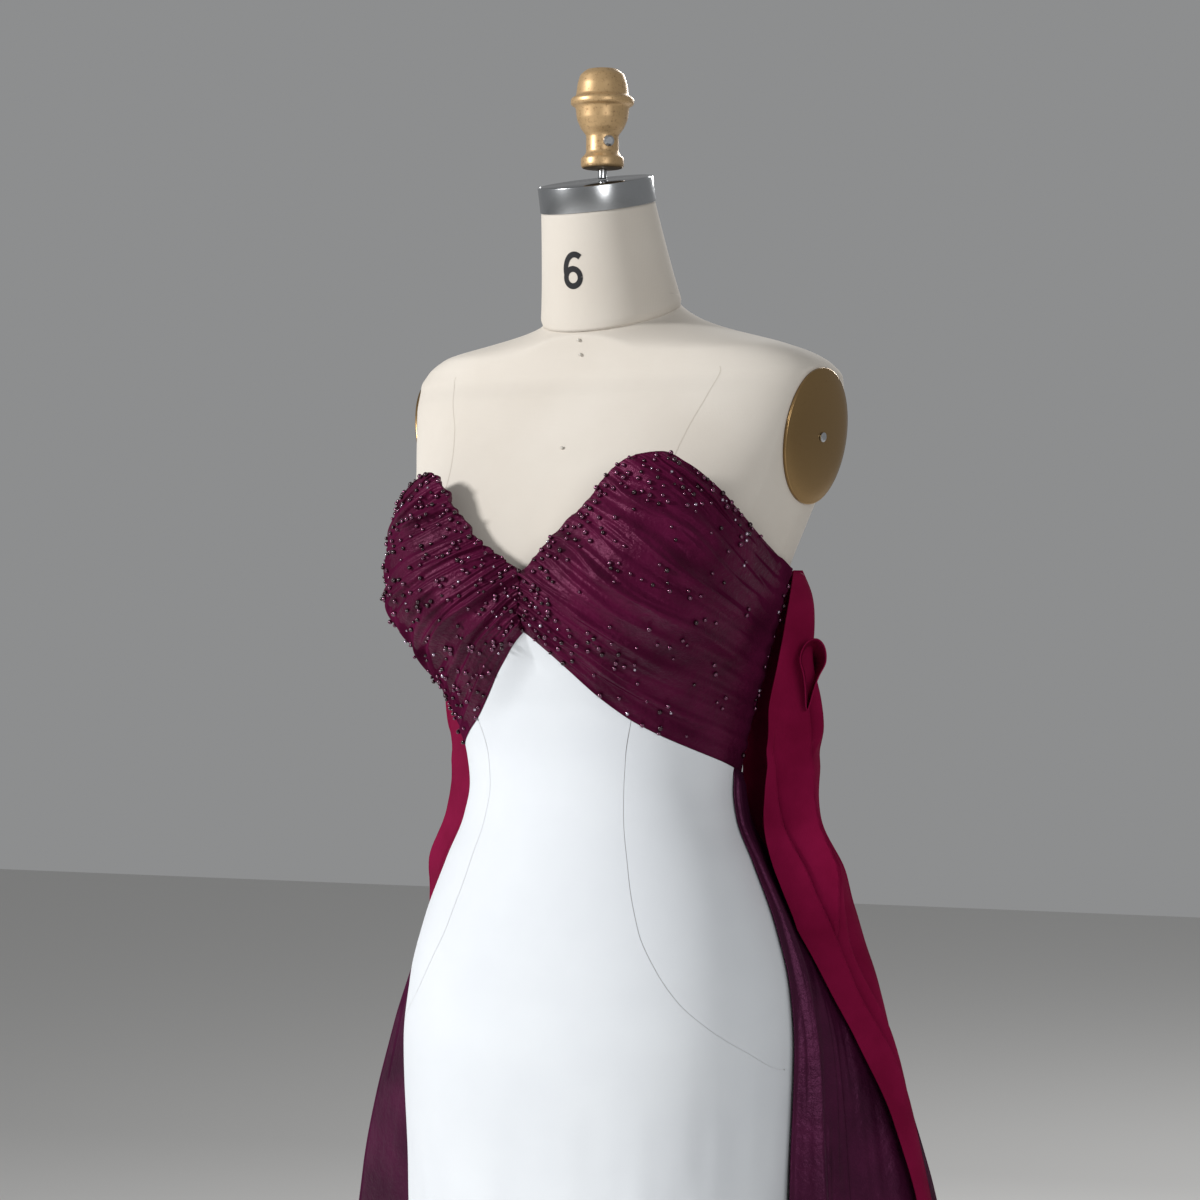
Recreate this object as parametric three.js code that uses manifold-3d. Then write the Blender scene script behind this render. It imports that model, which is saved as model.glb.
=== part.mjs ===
// Strapless maxi dress on a limbless dress form with a round stand.
// Millimetres, Z up, the floor at z = 0. The wearer's left is +X and the front is -Y.
// Angles are in degrees about the form's axis: 0 at the centre front, 90 at the side, 180 at the
// centre back. Every cloth is a wall whose points lie on the body's section, moved out.
import * as THREE from 'three';
import { mergeVertices } from 'three/addons/utils/BufferGeometryUtils.js';
import Module from 'manifold-3d';

const SEAM = 0.3;
const HEM = 6;
const HIP_SEAM_START = 835;
const SIDE_SEAM = 90;
const BODICE_SIDE = 105;

const SMOOTH_CLOTH = 1.5;
const BODICE_CLOTH = 1.6;
const SHEATH_CLEARANCE = 1.5;
const BODICE_CLEARANCE = 1.4;
const LAYER_GAP = 1.0;

const TORSO_BOTTOM = 740;
const AROUND = 48;
const STEP = 360 / AROUND;

// Sections of the body, also followed by the skirts below it: half width, centre in Y, half
// depth, and the powers of the rounded outline on its front and back halves.
const BODY = [
  { z: 5, half: 245, centre: 12, depth: 222, front: 2.1, back: 2.1 },
  { z: 160, half: 216, centre: 8, depth: 186, front: 2.1, back: 2.1 },
  { z: 330, half: 184, centre: 4, depth: 148, front: 2.15, back: 2.15 },
  { z: 480, half: 168, centre: 1, depth: 127, front: 2.2, back: 2.2 },
  { z: 640, half: 162, centre: 0, depth: 118, front: 2.2, back: 2.2 },
  { z: 740, half: 164, centre: 0, depth: 118, front: 2.25, back: 2.25 },
  { z: 850, half: 168, centre: 2, depth: 124, front: 2.25, back: 2.3 },
  { z: 900, half: 164, centre: 4, depth: 122, front: 2.2, back: 2.25 },
  { z: 950, half: 152, centre: 4, depth: 113, front: 2.15, back: 2.2 },
  { z: 1000, half: 133, centre: 4, depth: 100, front: 2.1, back: 2.1 },
  { z: 1035, half: 118, centre: 5, depth: 91, front: 2.1, back: 2.1 },
  { z: 1060, half: 114, centre: 7, depth: 88, front: 2.1, back: 2.1 },
  { z: 1085, half: 117, centre: 8, depth: 89, front: 2.1, back: 2.1 },
  { z: 1120, half: 126, centre: 7, depth: 94, front: 2.1, back: 2.15 },
  { z: 1160, half: 138, centre: 4, depth: 103, front: 2.15, back: 2.2 },
  { z: 1200, half: 149, centre: 1, depth: 110, front: 2.2, back: 2.3 },
  { z: 1240, half: 158, centre: 4, depth: 110, front: 2.25, back: 2.5 },
  { z: 1280, half: 168, centre: 15, depth: 107, front: 2.3, back: 2.8 },
  { z: 1320, half: 179, centre: 28, depth: 104, front: 2.4, back: 3.0 },
  { z: 1350, half: 186, centre: 36, depth: 98, front: 2.5, back: 3.1 },
  { z: 1380, half: 191, centre: 41, depth: 90, front: 2.5, back: 3.1 },
  { z: 1397, half: 191, centre: 43, depth: 82, front: 2.5, back: 3.0 },
  { z: 1408, half: 184, centre: 41, depth: 79, front: 2.4, back: 2.8 },
  { z: 1417, half: 170, centre: 38.5, depth: 76.5, front: 2.4, back: 2.6 },
  { z: 1430, half: 134, centre: 34.5, depth: 73.5, front: 2.3, back: 2.4 },
  { z: 1443, half: 102, centre: 31, depth: 70, front: 2.2, back: 2.2 },
  { z: 1456, half: 75, centre: 27.5, depth: 65.5, front: 2.1, back: 2.1 },
  { z: 1468, half: 57, centre: 22.5, depth: 59.5, front: 2.0, back: 2.0 },
];

// Swell of the form's chest and of the bodice's cups: height, angle of the middle, spread.
const CHEST = [
  { z: 1130, lift: 0, angle: 40, spread: 30 },
  { z: 1160, lift: 8, angle: 40, spread: 28 },
  { z: 1180, lift: 16, angle: 40, spread: 28 },
  { z: 1200, lift: 25, angle: 40, spread: 28 },
  { z: 1222, lift: 29, angle: 40, spread: 28 },
  { z: 1250, lift: 26, angle: 38, spread: 28 },
  { z: 1290, lift: 13, angle: 36, spread: 28 },
  { z: 1330, lift: 3, angle: 34, spread: 28 },
  { z: 1360, lift: 0, angle: 34, spread: 28 },
];
const CUP = [
  { z: 1060, lift: 0, angle: 40, spread: 34 },
  { z: 1112, lift: 1, angle: 40, spread: 34 },
  { z: 1139, lift: 7, angle: 41, spread: 33 },
  { z: 1160, lift: 14, angle: 41, spread: 33 },
  { z: 1180, lift: 24, angle: 40, spread: 33 },
  { z: 1200, lift: 32, angle: 38, spread: 32 },
  { z: 1222, lift: 36, angle: 37, spread: 31 },
  { z: 1260, lift: 36, angle: 34, spread: 29 },
  { z: 1290, lift: 38, angle: 31, spread: 28 },
  { z: 1325, lift: 43, angle: 27, spread: 27 },
  { z: 1345, lift: 45, angle: 26, spread: 26 },
];
const CUP_BRIDGE = { lift: 8, z: 1225, tall: 60, wide: 40 };
// The right cup lies closer to the form towards its top.
const CUP_RIGHT = { less: 0.25, from: 1200, to: 1330 };

// Upper edge of the bodice on each side, and the edge where it meets the sheath, by angle.
const NECKLINE_LEFT = [
  { angle: 0, z: 1235 },
  { angle: 2, z: 1243 },
  { angle: 5, z: 1255 },
  { angle: 9, z: 1276 },
  { angle: 13, z: 1289 },
  { angle: 15, z: 1303 },
  { angle: 18, z: 1320 },
  { angle: 22, z: 1328 },
  { angle: 27, z: 1330 },
  { angle: 34, z: 1321 },
  { angle: 44, z: 1304 },
  { angle: 59, z: 1280 },
  { angle: 81, z: 1256 },
  { angle: 105, z: 1240 },
  { angle: 180, z: 1234 },
];
const NECKLINE_RIGHT = [
  { angle: 0, z: 1235 },
  { angle: 2, z: 1241 },
  { angle: 6, z: 1251 },
  { angle: 11, z: 1263 },
  { angle: 15, z: 1278 },
  { angle: 18, z: 1290 },
  { angle: 20, z: 1303 },
  { angle: 23, z: 1315 },
  { angle: 26, z: 1318.5 },
  { angle: 31, z: 1313 },
  { angle: 38, z: 1304 },
  { angle: 47, z: 1295 },
  { angle: 59, z: 1279 },
  { angle: 81, z: 1256 },
  { angle: 105, z: 1240 },
  { angle: 180, z: 1234 },
];
const PEAK = { left: 27, right: 26 };
const UNDERBUST = [
  { angle: 0, z: 1187 },
  { angle: 10, z: 1160 },
  { angle: 22, z: 1133 },
  { angle: 35, z: 1114 },
  { angle: 55, z: 1097 },
  { angle: 80, z: 1083 },
  { angle: 105, z: 1073 },
  { angle: 180, z: 1068 },
];

// Curved seam between the sheath's front and side front, from the side seam up to the bodice.
const HIP_SEAM = [
  { z: 836, angle: 86.5 },
  { z: 841, angle: 80 },
  { z: 852, angle: 70.5 },
  { z: 862, angle: 62 },
  { z: 875, angle: 53.5 },
  { z: 893, angle: 45 },
  { z: 920, angle: 38 },
  { z: 950, angle: 33.5 },
  { z: 985, angle: 32 },
  { z: 1035, angle: 31.7 },
  { z: 1085, angle: 31.5 },
  { z: 1116.5, angle: 33 },
];

// Heights of one cup's gathers, from its lower edge to its outer neckline. They start on the
// centre front, on this share of them, and above it on the inner neckline, up to its peak.
const GATHERS = [1.4, 2.2, 1.7, 2.4, 1.9, 2.5, 2.0, 2.6, 2.1, 2.4, 1.9, 1.4];
const GATHER_CENTRE = 0.3;

// Soft waves of the sheath's hem.
const HEM_WAVE = { lift: 6, count: 9, top: 640 };

// How far the overskirt swings out from the sheath, by angle, times a share by height.
const SWING_LEFT = [
  { angle: 93, out: 1 },
  { angle: 103, out: 16 },
  { angle: 110, out: 38 },
  { angle: 118, out: 66 },
  { angle: 127, out: 98 },
  { angle: 145, out: 132 },
  { angle: 180, out: 158 },
];
const SWING_RIGHT = [
  { angle: 91, out: 1 },
  { angle: 94, out: 44 },
  { angle: 100, out: 74 },
  { angle: 110, out: 88 },
  { angle: 127, out: 108 },
  { angle: 145, out: 132 },
  { angle: 180, out: 158 },
];
const SWING = [
  { z: 5, share: 2.0, flute: 54 },
  { z: 250, share: 1.85, flute: 44 },
  { z: 480, share: 1.5, flute: 34 },
  { z: 716, share: 1.0, flute: 26 },
  { z: 787, share: 0.82, flute: 20 },
  { z: 855, share: 0.58, flute: 14 },
  { z: 919, share: 0.36, flute: 9 },
  { z: 985, share: 0.1, flute: 5 },
  { z: 1030, share: 0.02, flute: 2.6 },
  { z: 1075, share: 0, flute: 1.4 },
];
const FLUTES_LEFT = [
  { at: 0.05, half: 0.045, lift: 0.9 },
  { at: 0.31, half: 0.05, lift: 1.0 },
  { at: 0.47, half: 0.04, lift: 0.75 },
  { at: 0.63, half: 0.042, lift: 1.0 },
  { at: 0.79, half: 0.04, lift: 0.8 },
  { at: 0.94, half: 0.036, lift: 0.9 },
];
const FLUTES_RIGHT = [
  { at: 0.09, half: 0.045, lift: 0.9 },
  { at: 0.26, half: 0.042, lift: 0.8 },
  { at: 0.43, half: 0.045, lift: 1.0 },
  { at: 0.61, half: 0.042, lift: 0.75 },
  { at: 0.78, half: 0.042, lift: 1.0 },
  { at: 0.94, half: 0.036, lift: 0.85 },
];

// A drape, from the bodice's back corner to the hem: the angles of its front edge, its fullest
// part and its back edge, and how far each stands off the cloth under it.
const DRAPE = [
  { z: 12, front: 114, full: 118, back: 124, offFront: 3, offFull: 6, offBack: 2.5 },
  { z: 120, front: 114.5, full: 118.5, back: 124, offFront: 3, offFull: 6, offBack: 2.5 },
  { z: 240, front: 115, full: 119, back: 124, offFront: 3, offFull: 6, offBack: 2.5 },
  { z: 360, front: 115.5, full: 119.5, back: 124.5, offFront: 3, offFull: 6.5, offBack: 2.5 },
  { z: 480, front: 116, full: 120, back: 125, offFront: 3, offFull: 7, offBack: 2.5 },
  { z: 600, front: 116, full: 120, back: 125, offFront: 3, offFull: 8, offBack: 2.5 },
  { z: 716, front: 116, full: 119.5, back: 124, offFront: 3, offFull: 8, offBack: 2.5 },
  { z: 787, front: 115, full: 118.5, back: 124, offFront: 3, offFull: 9, offBack: 3 },
  { z: 855, front: 112, full: 115.5, back: 127, offFront: 3, offFull: 15, offBack: 4 },
  { z: 919, front: 106, full: 110, back: 132, offFront: 1.2, offFull: 31, offBack: 5 },
  { z: 960, front: 102, full: 108, back: 135, offFront: 1.2, offFull: 50, offBack: 6 },
  { z: 1000, front: 100, full: 107, back: 136, offFront: 5, offFull: 68, offBack: 6 },
  { z: 1035, front: 100, full: 107, back: 136, offFront: 14, offFull: 69, offBack: 6 },
  { z: 1060, front: 100, full: 107, back: 136, offFront: 19, offFull: 70, offBack: 6 },
  { z: 1095, front: 99, full: 106, back: 135, offFront: 20, offFull: 67, offBack: 6 },
  { z: 1130, front: 97, full: 105, back: 134, offFront: 14, offFull: 60, offBack: 4 },
  { z: 1165, front: 97, full: 105, back: 131, offFront: 12, offFull: 48, offBack: 4 },
  { z: 1190, front: 99, full: 106, back: 127, offFront: 9, offFull: 38, offBack: 3.5 },
  { z: 1215, front: 103, full: 109, back: 122, offFront: 5, offFull: 24, offBack: 2.5 },
  { z: 1238, front: 108, full: 112, back: 118, offFront: 0.35, offFull: 7, offBack: 0.35 },
];
const DRAPE_FULL_AT = 0.4;
const DRAPE_REACH = 3;
const DRAPE_FOLDS = { count: 3, share: 0.16, most: 6 };

const NECK = { low: 1452, top: 1540, lowY: 20, topY: -3, lowTilt: 17, topTilt: 12.5 };
const NECK_LOW = { half: 60, depth: 60 };
const NECK_TOP = { half: 47, depth: 48 };
const CAP = { half: 47.6, depth: 48.6, tall: 21, plate: 1.4, rim: 1.6, plateTall: 1.2 };
const CAP_AROUND = 32;
const ROD = { radius: 3.7, y: 4, bottom: 1564.7, top: 1572.7 };
const FINIAL = [
  { radius: 0, z: 1573 },
  { radius: 16.6, z: 1573 },
  { radius: 17.9, z: 1575 },
  { radius: 17.9, z: 1581.5 },
  { radius: 15.4, z: 1583.5 },
  { radius: 13.5, z: 1586.5 },
  { radius: 13.5, z: 1600.5 },
  { radius: 18, z: 1606.5 },
  { radius: 21.2, z: 1614 },
  { radius: 22.4, z: 1624 },
  { radius: 26.3, z: 1626 },
  { radius: 26.3, z: 1631 },
  { radius: 22, z: 1633.5 },
  { radius: 20.6, z: 1644 },
  { radius: 18.4, z: 1651 },
  { radius: 13, z: 1655.5 },
  { radius: 0, z: 1656.8 },
];
const SET_SCREW = { radius: 4.8, tall: 2.4, z: 1594.5, angle: 52, stem: 13.5 };

const ARM = { x: 180, y: 37, z: 1347, toe: 8, lean: 9, half: 43, tall: 56, rise: 8, rim: 2 };
const ARM_SCREW = { radius: 4, tall: 1.6 };

const POLE_RADIUS = 19;
const BASE = [
  { radius: 0, z: 0 },
  { radius: 168, z: 0 },
  { radius: 170, z: 2 },
  { radius: 170, z: 12 },
  { radius: 165, z: 16 },
  { radius: 40, z: 21 },
  { radius: 34, z: 30 },
  { radius: 0, z: 30 },
];

const ZIP = { half: 3.2, tape: 3.5, bottom: 1069, top: 1233, ridge: 0.9 };
const SLIDER = { z: 1224, half: 4, tall: 10, thick: 2.4, archHalf: 0.8, archLow: 2, arch: 1 };
const PULL = { half: 3, window: 1.7, windowTall: 4.6, thick: 1, length: 24, bar: 0.6 };

const wasm = await Module();
wasm.setup();

function radians(degrees) {
  return degrees * Math.PI / 180;
}

function mix(a, b, share) {
  return a + (b - a) * share;
}

function ease(from, to, value) {
  const share = Math.min(1, Math.max(0, (value - from) / (to - from)));
  return share * share * (3 - 2 * share);
}

// A smooth curve through one column of a table, with no overshoot between its rows.
function column(table, key, name) {
  const at = table.map((row) => row[key]);
  const value = table.map((row) => row[name]);
  const last = at.length - 1;
  const rise = at.slice(1).map((x, i) => (value[i + 1] - value[i]) / (x - at[i]));
  const slope = value.map((v, i) => {
    if (i === 0 || i === last) {
      return rise[Math.max(0, i - 1)];
    }
    const product = rise[i - 1] * rise[i];
    return product <= 0 ? 0 : 2 * product / (rise[i - 1] + rise[i]);
  });
  return (x) => {
    const place = Math.min(at[last], Math.max(at[0], x));
    let i = 0;
    while (i < last - 1 && place > at[i + 1]) {
      i += 1;
    }
    const width = at[i + 1] - at[i];
    const t = (place - at[i]) / width;
    const s = 1 - t;
    const ends = s * s * (1 + 2 * t) * value[i] + t * t * (3 - 2 * t) * value[i + 1];
    return ends + width * t * s * (s * slope[i] - t * slope[i + 1]);
  };
}

function columns(table, key) {
  const names = Object.keys(table[0]).filter((name) => name !== key);
  return Object.fromEntries(names.map((name) => [name, column(table, key, name)]));
}

const body = columns(BODY, 'z');
const chest = columns(CHEST, 'z');
const cup = columns(CUP, 'z');
const necklineLeft = columns(NECKLINE_LEFT, 'angle');
const necklineRight = columns(NECKLINE_RIGHT, 'angle');
const underbust = columns(UNDERBUST, 'angle');
const swing = columns(SWING, 'z');

// A point of the body's section at an angle and height, moved out by a distance.
function around(angle, z, out) {
  const s = Math.sin(radians(angle));
  const c = Math.cos(radians(angle));
  const power = 2 / (c > 0 ? body.front(z) : body.back(z));
  const x = body.half(z) * Math.sign(s) * Math.abs(s) ** power;
  const y = body.depth(z) * Math.sign(c) * Math.abs(c) ** power;
  return new THREE.Vector3(x + s * out, body.centre(z) - y - c * out, z);
}

function swell(table, rows, angle, z) {
  if (z <= rows[0].z) {
    return 0;
  }
  const away = (Math.abs(angle) - table.angle(z)) / table.spread(z);
  return table.lift(z) * Math.exp(-away * away);
}

function chestOut(angle, z) {
  return z >= CHEST[CHEST.length - 1].z ? 0 : swell(chest, CHEST, angle, z);
}

function neckline(side, angle) {
  return (side > 0 ? necklineLeft : necklineRight).z(angle);
}

function bodiceOut(angle, z, side = 1) {
  const tall = (z - CUP_BRIDGE.z) / CUP_BRIDGE.tall;
  const wide = angle / CUP_BRIDGE.wide;
  const bridge = CUP_BRIDGE.lift * Math.exp(-tall * tall - wide * wide);
  const less = side > 0 ? 0 : CUP_RIGHT.less * ease(CUP_RIGHT.from, CUP_RIGHT.to, z);
  return BODICE_CLEARANCE + BODICE_CLOTH + bridge + swell(cup, CUP, angle, z) * (1 - less);
}

// The sheath follows the body and eases out to the bodice's edge along its own upper edge.
function sheathOut(angle, z) {
  const free = Math.max(0, 1 - z / HEM_WAVE.top) ** 1.2;
  const wave = HEM_WAVE.lift * free * (1 + Math.cos(radians(HEM_WAVE.count * angle))) / 2;
  const close = SHEATH_CLEARANCE + SMOOTH_CLOTH + chestOut(angle, z) + wave;
  const edge = underbust.z(Math.abs(angle));
  return mix(close, bodiceOut(angle, z), ease(edge - 32, edge, z));
}

function fluteHeight(flutes, place) {
  return flutes.reduce((sum, flute) => {
    const away = (place - flute.at) / flute.half;
    return sum + flute.lift * Math.exp(-away * away);
  }, 0);
}

function overskirtOut(side, angle, z) {
  const spread = side > 0 ? swingLeft : swingRight;
  const flutes = side > 0 ? FLUTES_LEFT : FLUTES_RIGHT;
  const start = side > 0 ? SWING_LEFT[0].angle : SWING_RIGHT[0].angle;
  const place = (angle - start) / (180 - start);
  const free = Math.min(1, Math.max(0.25, place / 0.05));
  const flute = swing.flute(z) * fluteHeight(flutes, place) * free;
  const under = sheathOut(angle, z) + LAYER_GAP + SMOOTH_CLOTH;
  return under + spread.out(angle) * swing.share(z) + flute;
}

const swingLeft = columns(SWING_LEFT, 'angle');
const swingRight = columns(SWING_RIGHT, 'angle');

// A closed body from points and quads, turned so that its faces point out.
function solid(points, quads) {
  const faces = [];
  for (const [a, b, c, d] of quads) {
    faces.push([a, b, c]);
    if (d !== undefined) {
      faces.push([a, c, d]);
    }
  }
  const cross = new THREE.Vector3();
  const volume = faces.reduce((sum, [a, b, c]) => {
    return sum + points[a].dot(cross.crossVectors(points[b], points[c]));
  }, 0);
  const index = faces.flatMap(([a, b, c]) => (volume > 0 ? [a, b, c] : [a, c, b]));
  const geometry = new THREE.BufferGeometry().setFromPoints(points);
  geometry.setIndex(index);
  return geometry;
}

// A sheet of cloth with a thickness: a grid of outer points, a grid of inner points, four rims.
function wall(across, up, outer, inner) {
  const points = [];
  for (const face of [outer, inner]) {
    for (let j = 0; j <= up; j += 1) {
      for (let i = 0; i <= across; i += 1) {
        points.push(face(i, j));
      }
    }
  }
  const sheet = (across + 1) * (up + 1);
  const id = (face, i, j) => face * sheet + j * (across + 1) + i;
  const quads = [];
  for (let j = 0; j < up; j += 1) {
    for (let i = 0; i < across; i += 1) {
      quads.push([id(0, i, j), id(0, i + 1, j), id(0, i + 1, j + 1), id(0, i, j + 1)]);
      quads.push([id(1, i, j), id(1, i, j + 1), id(1, i + 1, j + 1), id(1, i + 1, j)]);
    }
  }
  for (let i = 0; i < across; i += 1) {
    quads.push([id(0, i, 0), id(1, i, 0), id(1, i + 1, 0), id(0, i + 1, 0)]);
    quads.push([id(0, i, up), id(0, i + 1, up), id(1, i + 1, up), id(1, i, up)]);
  }
  for (let j = 0; j < up; j += 1) {
    quads.push([id(0, 0, j), id(0, 0, j + 1), id(1, 0, j + 1), id(1, 0, j)]);
    quads.push([id(0, across, j), id(1, across, j), id(1, across, j + 1), id(0, across, j + 1)]);
  }
  return solid(points, quads);
}

// A solid through rings of points, closed by a flat fan at each end.
function loft(rings) {
  const count = rings[0].length;
  const points = rings.flat();
  const quads = [];
  for (let j = 0; j + 1 < rings.length; j += 1) {
    for (let i = 0; i < count; i += 1) {
      const k = (i + 1) % count;
      quads.push([j * count + i, j * count + k, (j + 1) * count + k, (j + 1) * count + i]);
    }
  }
  for (const j of [0, rings.length - 1]) {
    const middle = new THREE.Vector3();
    rings[j].forEach((point) => middle.addScaledVector(point, 1 / count));
    points.push(middle);
    for (let i = 0; i < count; i += 1) {
      const k = (i + 1) % count;
      const turn = j === 0 ? [j * count + k, j * count + i] : [j * count + i, j * count + k];
      quads.push([...turn, points.length - 1]);
    }
  }
  return solid(points, quads);
}

// A turned solid about Z from a table of radii and heights.
function turned(table, segments) {
  const profile = table.map((row) => new THREE.Vector2(row.radius, row.z));
  return new THREE.LatheGeometry(profile, segments).rotateX(Math.PI / 2);
}

function toManifold(geometry) {
  const bare = geometry.clone();
  bare.deleteAttribute('normal');
  bare.deleteAttribute('uv');
  const merged = mergeVertices(bare, 1e-4);
  const vertProperties = new Float32Array(merged.attributes.position.array);
  const triVerts = new Uint32Array(merged.index.array);
  return new wasm.Manifold(new wasm.Mesh({ numProp: 3, vertProperties, triVerts }));
}

function fromManifold(manifold) {
  const mesh = manifold.getMesh();
  const geometry = new THREE.BufferGeometry();
  const position = new Float32Array(mesh.vertProperties);
  geometry.setAttribute('position', new THREE.BufferAttribute(position, 3));
  geometry.setIndex(new THREE.BufferAttribute(new Uint32Array(mesh.triVerts), 1));
  return geometry;
}

// A mirrored copy has its triangles turned round, so that its faces still point out.
function placed(geometry, matrix) {
  const copy = geometry.clone().applyMatrix4(matrix);
  if (matrix.determinant() < 0) {
    copy.index.array.reverse();
  }
  return copy;
}

// The frame of an arm plate: its own Z points out of the shoulder.
function armFrame(side) {
  const turn = new THREE.Matrix4().makeRotationY(radians(90 + ARM.lean));
  const toe = new THREE.Matrix4().makeRotationZ(radians(-ARM.toe));
  const frame = new THREE.Matrix4().makeTranslation(ARM.x, ARM.y, ARM.z).multiply(toe).multiply(turn);
  const mirror = new THREE.Matrix4().makeScale(side, 1, 1);
  return mirror.multiply(frame);
}

function neckRing(share, grow) {
  const spread = share ** 0.8;
  const tilt = Math.tan(radians(mix(NECK.lowTilt, NECK.topTilt, share)));
  const ring = [];
  for (let i = 0; i < AROUND; i += 1) {
    const angle = radians(i * STEP);
    const x = (mix(NECK_LOW.half, NECK_TOP.half, spread) + grow) * Math.sin(angle);
    const y = -(mix(NECK_LOW.depth, NECK_TOP.depth, spread) + grow) * Math.cos(angle);
    const z = mix(NECK.low, NECK.top, share) + y * tilt;
    ring.push(new THREE.Vector3(x, y + mix(NECK.lowY, NECK.topY, share), z));
  }
  return ring;
}

const TORSO_ROWS = [
  740, 787, 835, 883, 930, 972, 1005, 1032, 1055, 1075, 1096, 1120, 1148, 1175, 1200, 1230,
  1260, 1290, 1320, 1350, 1376, 1394, 1407, 1419, 1434, 1450, 1468,
];

function torso() {
  const rings = TORSO_ROWS.map((z) => {
    const ring = [];
    for (let i = 0; i < AROUND; i += 1) {
      const angle = i * STEP > 180 ? i * STEP - 360 : i * STEP;
      ring.push(around(angle, z, chestOut(angle, z)));
    }
    return ring;
  });
  const neck = [0, 0.35, 0.7, 1].map((share) => neckRing(share, 0));
  let form = toManifold(loft(rings)).add(toManifold(loft(neck)));
  for (const side of [1, -1]) {
    const block = new THREE.BoxGeometry(200, 160, 60).translate(0, 0, 30);
    form = form.subtract(toManifold(placed(block, armFrame(side))));
  }
  return fromManifold(form);
}

// The cap's frame sits on the neck's tilted top, its own Z along the neck.
const capFrame = new THREE.Matrix4()
  .makeTranslation(0, NECK.topY, NECK.top)
  .multiply(new THREE.Matrix4().makeRotationX(radians(NECK.topTilt)));

function capDisc(half, depth, low, high) {
  const slope = Math.cos(radians(NECK.topTilt));
  const rings = [low, high].map((z) => {
    const ring = [];
    for (let i = 0; i < CAP_AROUND; i += 1) {
      const angle = radians(i * 360 / CAP_AROUND);
      ring.push(new THREE.Vector3(half * Math.sin(angle), -depth / slope * Math.cos(angle), z));
    }
    return ring;
  });
  return placed(loft(rings), capFrame);
}

function capBand() {
  const high = SEAM + CAP.tall;
  const puck = toManifold(capDisc(CAP.half, CAP.depth, SEAM, high));
  const inner = [CAP.half - CAP.rim, CAP.depth - CAP.rim];
  return fromManifold(puck.subtract(toManifold(capDisc(...inner, high - CAP.plate, high + 5))));
}

function capPlate() {
  const low = SEAM + CAP.tall - CAP.plate + SEAM;
  const rim = CAP.rim + SEAM;
  return capDisc(CAP.half - rim, CAP.depth - rim, low, low + CAP.plateTall);
}

function armPlate(side) {
  const rows = [0, 0.4, 0.75, 0.95].map((share) => {
    return { radius: share, z: SEAM + ARM.rim + (ARM.rise - ARM.rim) * Math.sqrt(1 - share ** 2) };
  });
  const profile = [
    { radius: 0, z: SEAM },
    { radius: 1, z: SEAM },
    { radius: 1, z: SEAM + ARM.rim },
    ...rows.reverse(),
  ];
  const plate = turned(profile, 28).scale(ARM.tall, ARM.half, 1);
  return placed(plate, armFrame(side));
}

function armScrew(side) {
  const low = SEAM + ARM.rise + SEAM;
  const disc = turned([
    { radius: 0, z: low },
    { radius: ARM_SCREW.radius, z: low },
    { radius: ARM_SCREW.radius, z: low + ARM_SCREW.tall * 0.6 },
    { radius: ARM_SCREW.radius * 0.6, z: low + ARM_SCREW.tall },
    { radius: 0, z: low + ARM_SCREW.tall },
  ], 16);
  return placed(disc, armFrame(side));
}

function setScrew() {
  const direction = new THREE.Matrix4().makeRotationZ(radians(SET_SCREW.angle));
  const lie = new THREE.Matrix4().makeRotationX(Math.PI / 2);
  const move = new THREE.Matrix4().makeTranslation(0, ROD.y, SET_SCREW.z);
  const low = SET_SCREW.stem + SEAM;
  const head = turned([
    { radius: 0, z: low },
    { radius: SET_SCREW.radius, z: low },
    { radius: SET_SCREW.radius * 0.96, z: low + SET_SCREW.tall * 0.5 },
    { radius: SET_SCREW.radius * 0.6, z: low + SET_SCREW.tall },
    { radius: 0, z: low + SET_SCREW.tall },
  ], 16);
  return placed(head, move.multiply(direction).multiply(lie));
}

function mirrored(point, side) {
  point.x *= side;
  return point;
}

// Half the seam gap as an angle at a height, from the body's own width there.
function seamAngle(z, gap) {
  return gap / 2 / radians(Math.min(body.half(z), body.depth(z)));
}

const SHEATH_LOW_ROWS = [HEM, 130, 260, 390, 520, 640, 740, 787];
const SHEATH_HIGH_ROWS = [883, 930, 972, 1005, 1032, 1050];

// The hip seam's nodes, moved by half the gap across the seam to one side of it.
function hipSeam(node, away) {
  const before = HIP_SEAM[Math.max(0, node - 1)];
  const after = HIP_SEAM[Math.min(HIP_SEAM.length - 1, node + 1)];
  const row = HIP_SEAM[node];
  const perDegree = radians(body.half(row.z));
  const run = (after.angle - before.angle) * perDegree;
  const climb = after.z - before.z;
  const long = Math.hypot(run, climb);
  const shift = away * SEAM / 2;
  return { angle: row.angle + shift * climb / long / perDegree, z: row.z - shift * run / long };
}

function sheathPoint(angle, z, side, drop) {
  return mirrored(around(angle, z, sheathOut(angle, z) - drop), side);
}

// Full width below the hip seam, then between the two hip seams up to the bodice's edge.
function sheathFront() {
  const across = 20;
  const low = [...SHEATH_LOW_ROWS, HIP_SEAM_START - 2];
  const up = low.length + HIP_SEAM.length - 1;
  const grid = (i, j, drop) => {
    const u = 2 * i / across - 1;
    if (j < low.length) {
      const edge = SIDE_SEAM - seamAngle(low[j], SEAM);
      return sheathPoint(u * edge, low[j], 1, drop);
    }
    const seam = hipSeam(j - low.length, -1);
    const angle = u * seam.angle;
    const corner = underbust.z(seam.angle) - SEAM / 2;
    const climb = ease(950, corner, seam.z);
    const crown = underbust.z(Math.abs(angle)) - SEAM / 2 - corner;
    return sheathPoint(angle, Math.min(seam.z, corner) + crown * climb, 1, drop);
  };
  return wall(across, up, (i, j) => grid(i, j, 0), (i, j) => grid(i, j, SMOOTH_CLOTH));
}

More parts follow.
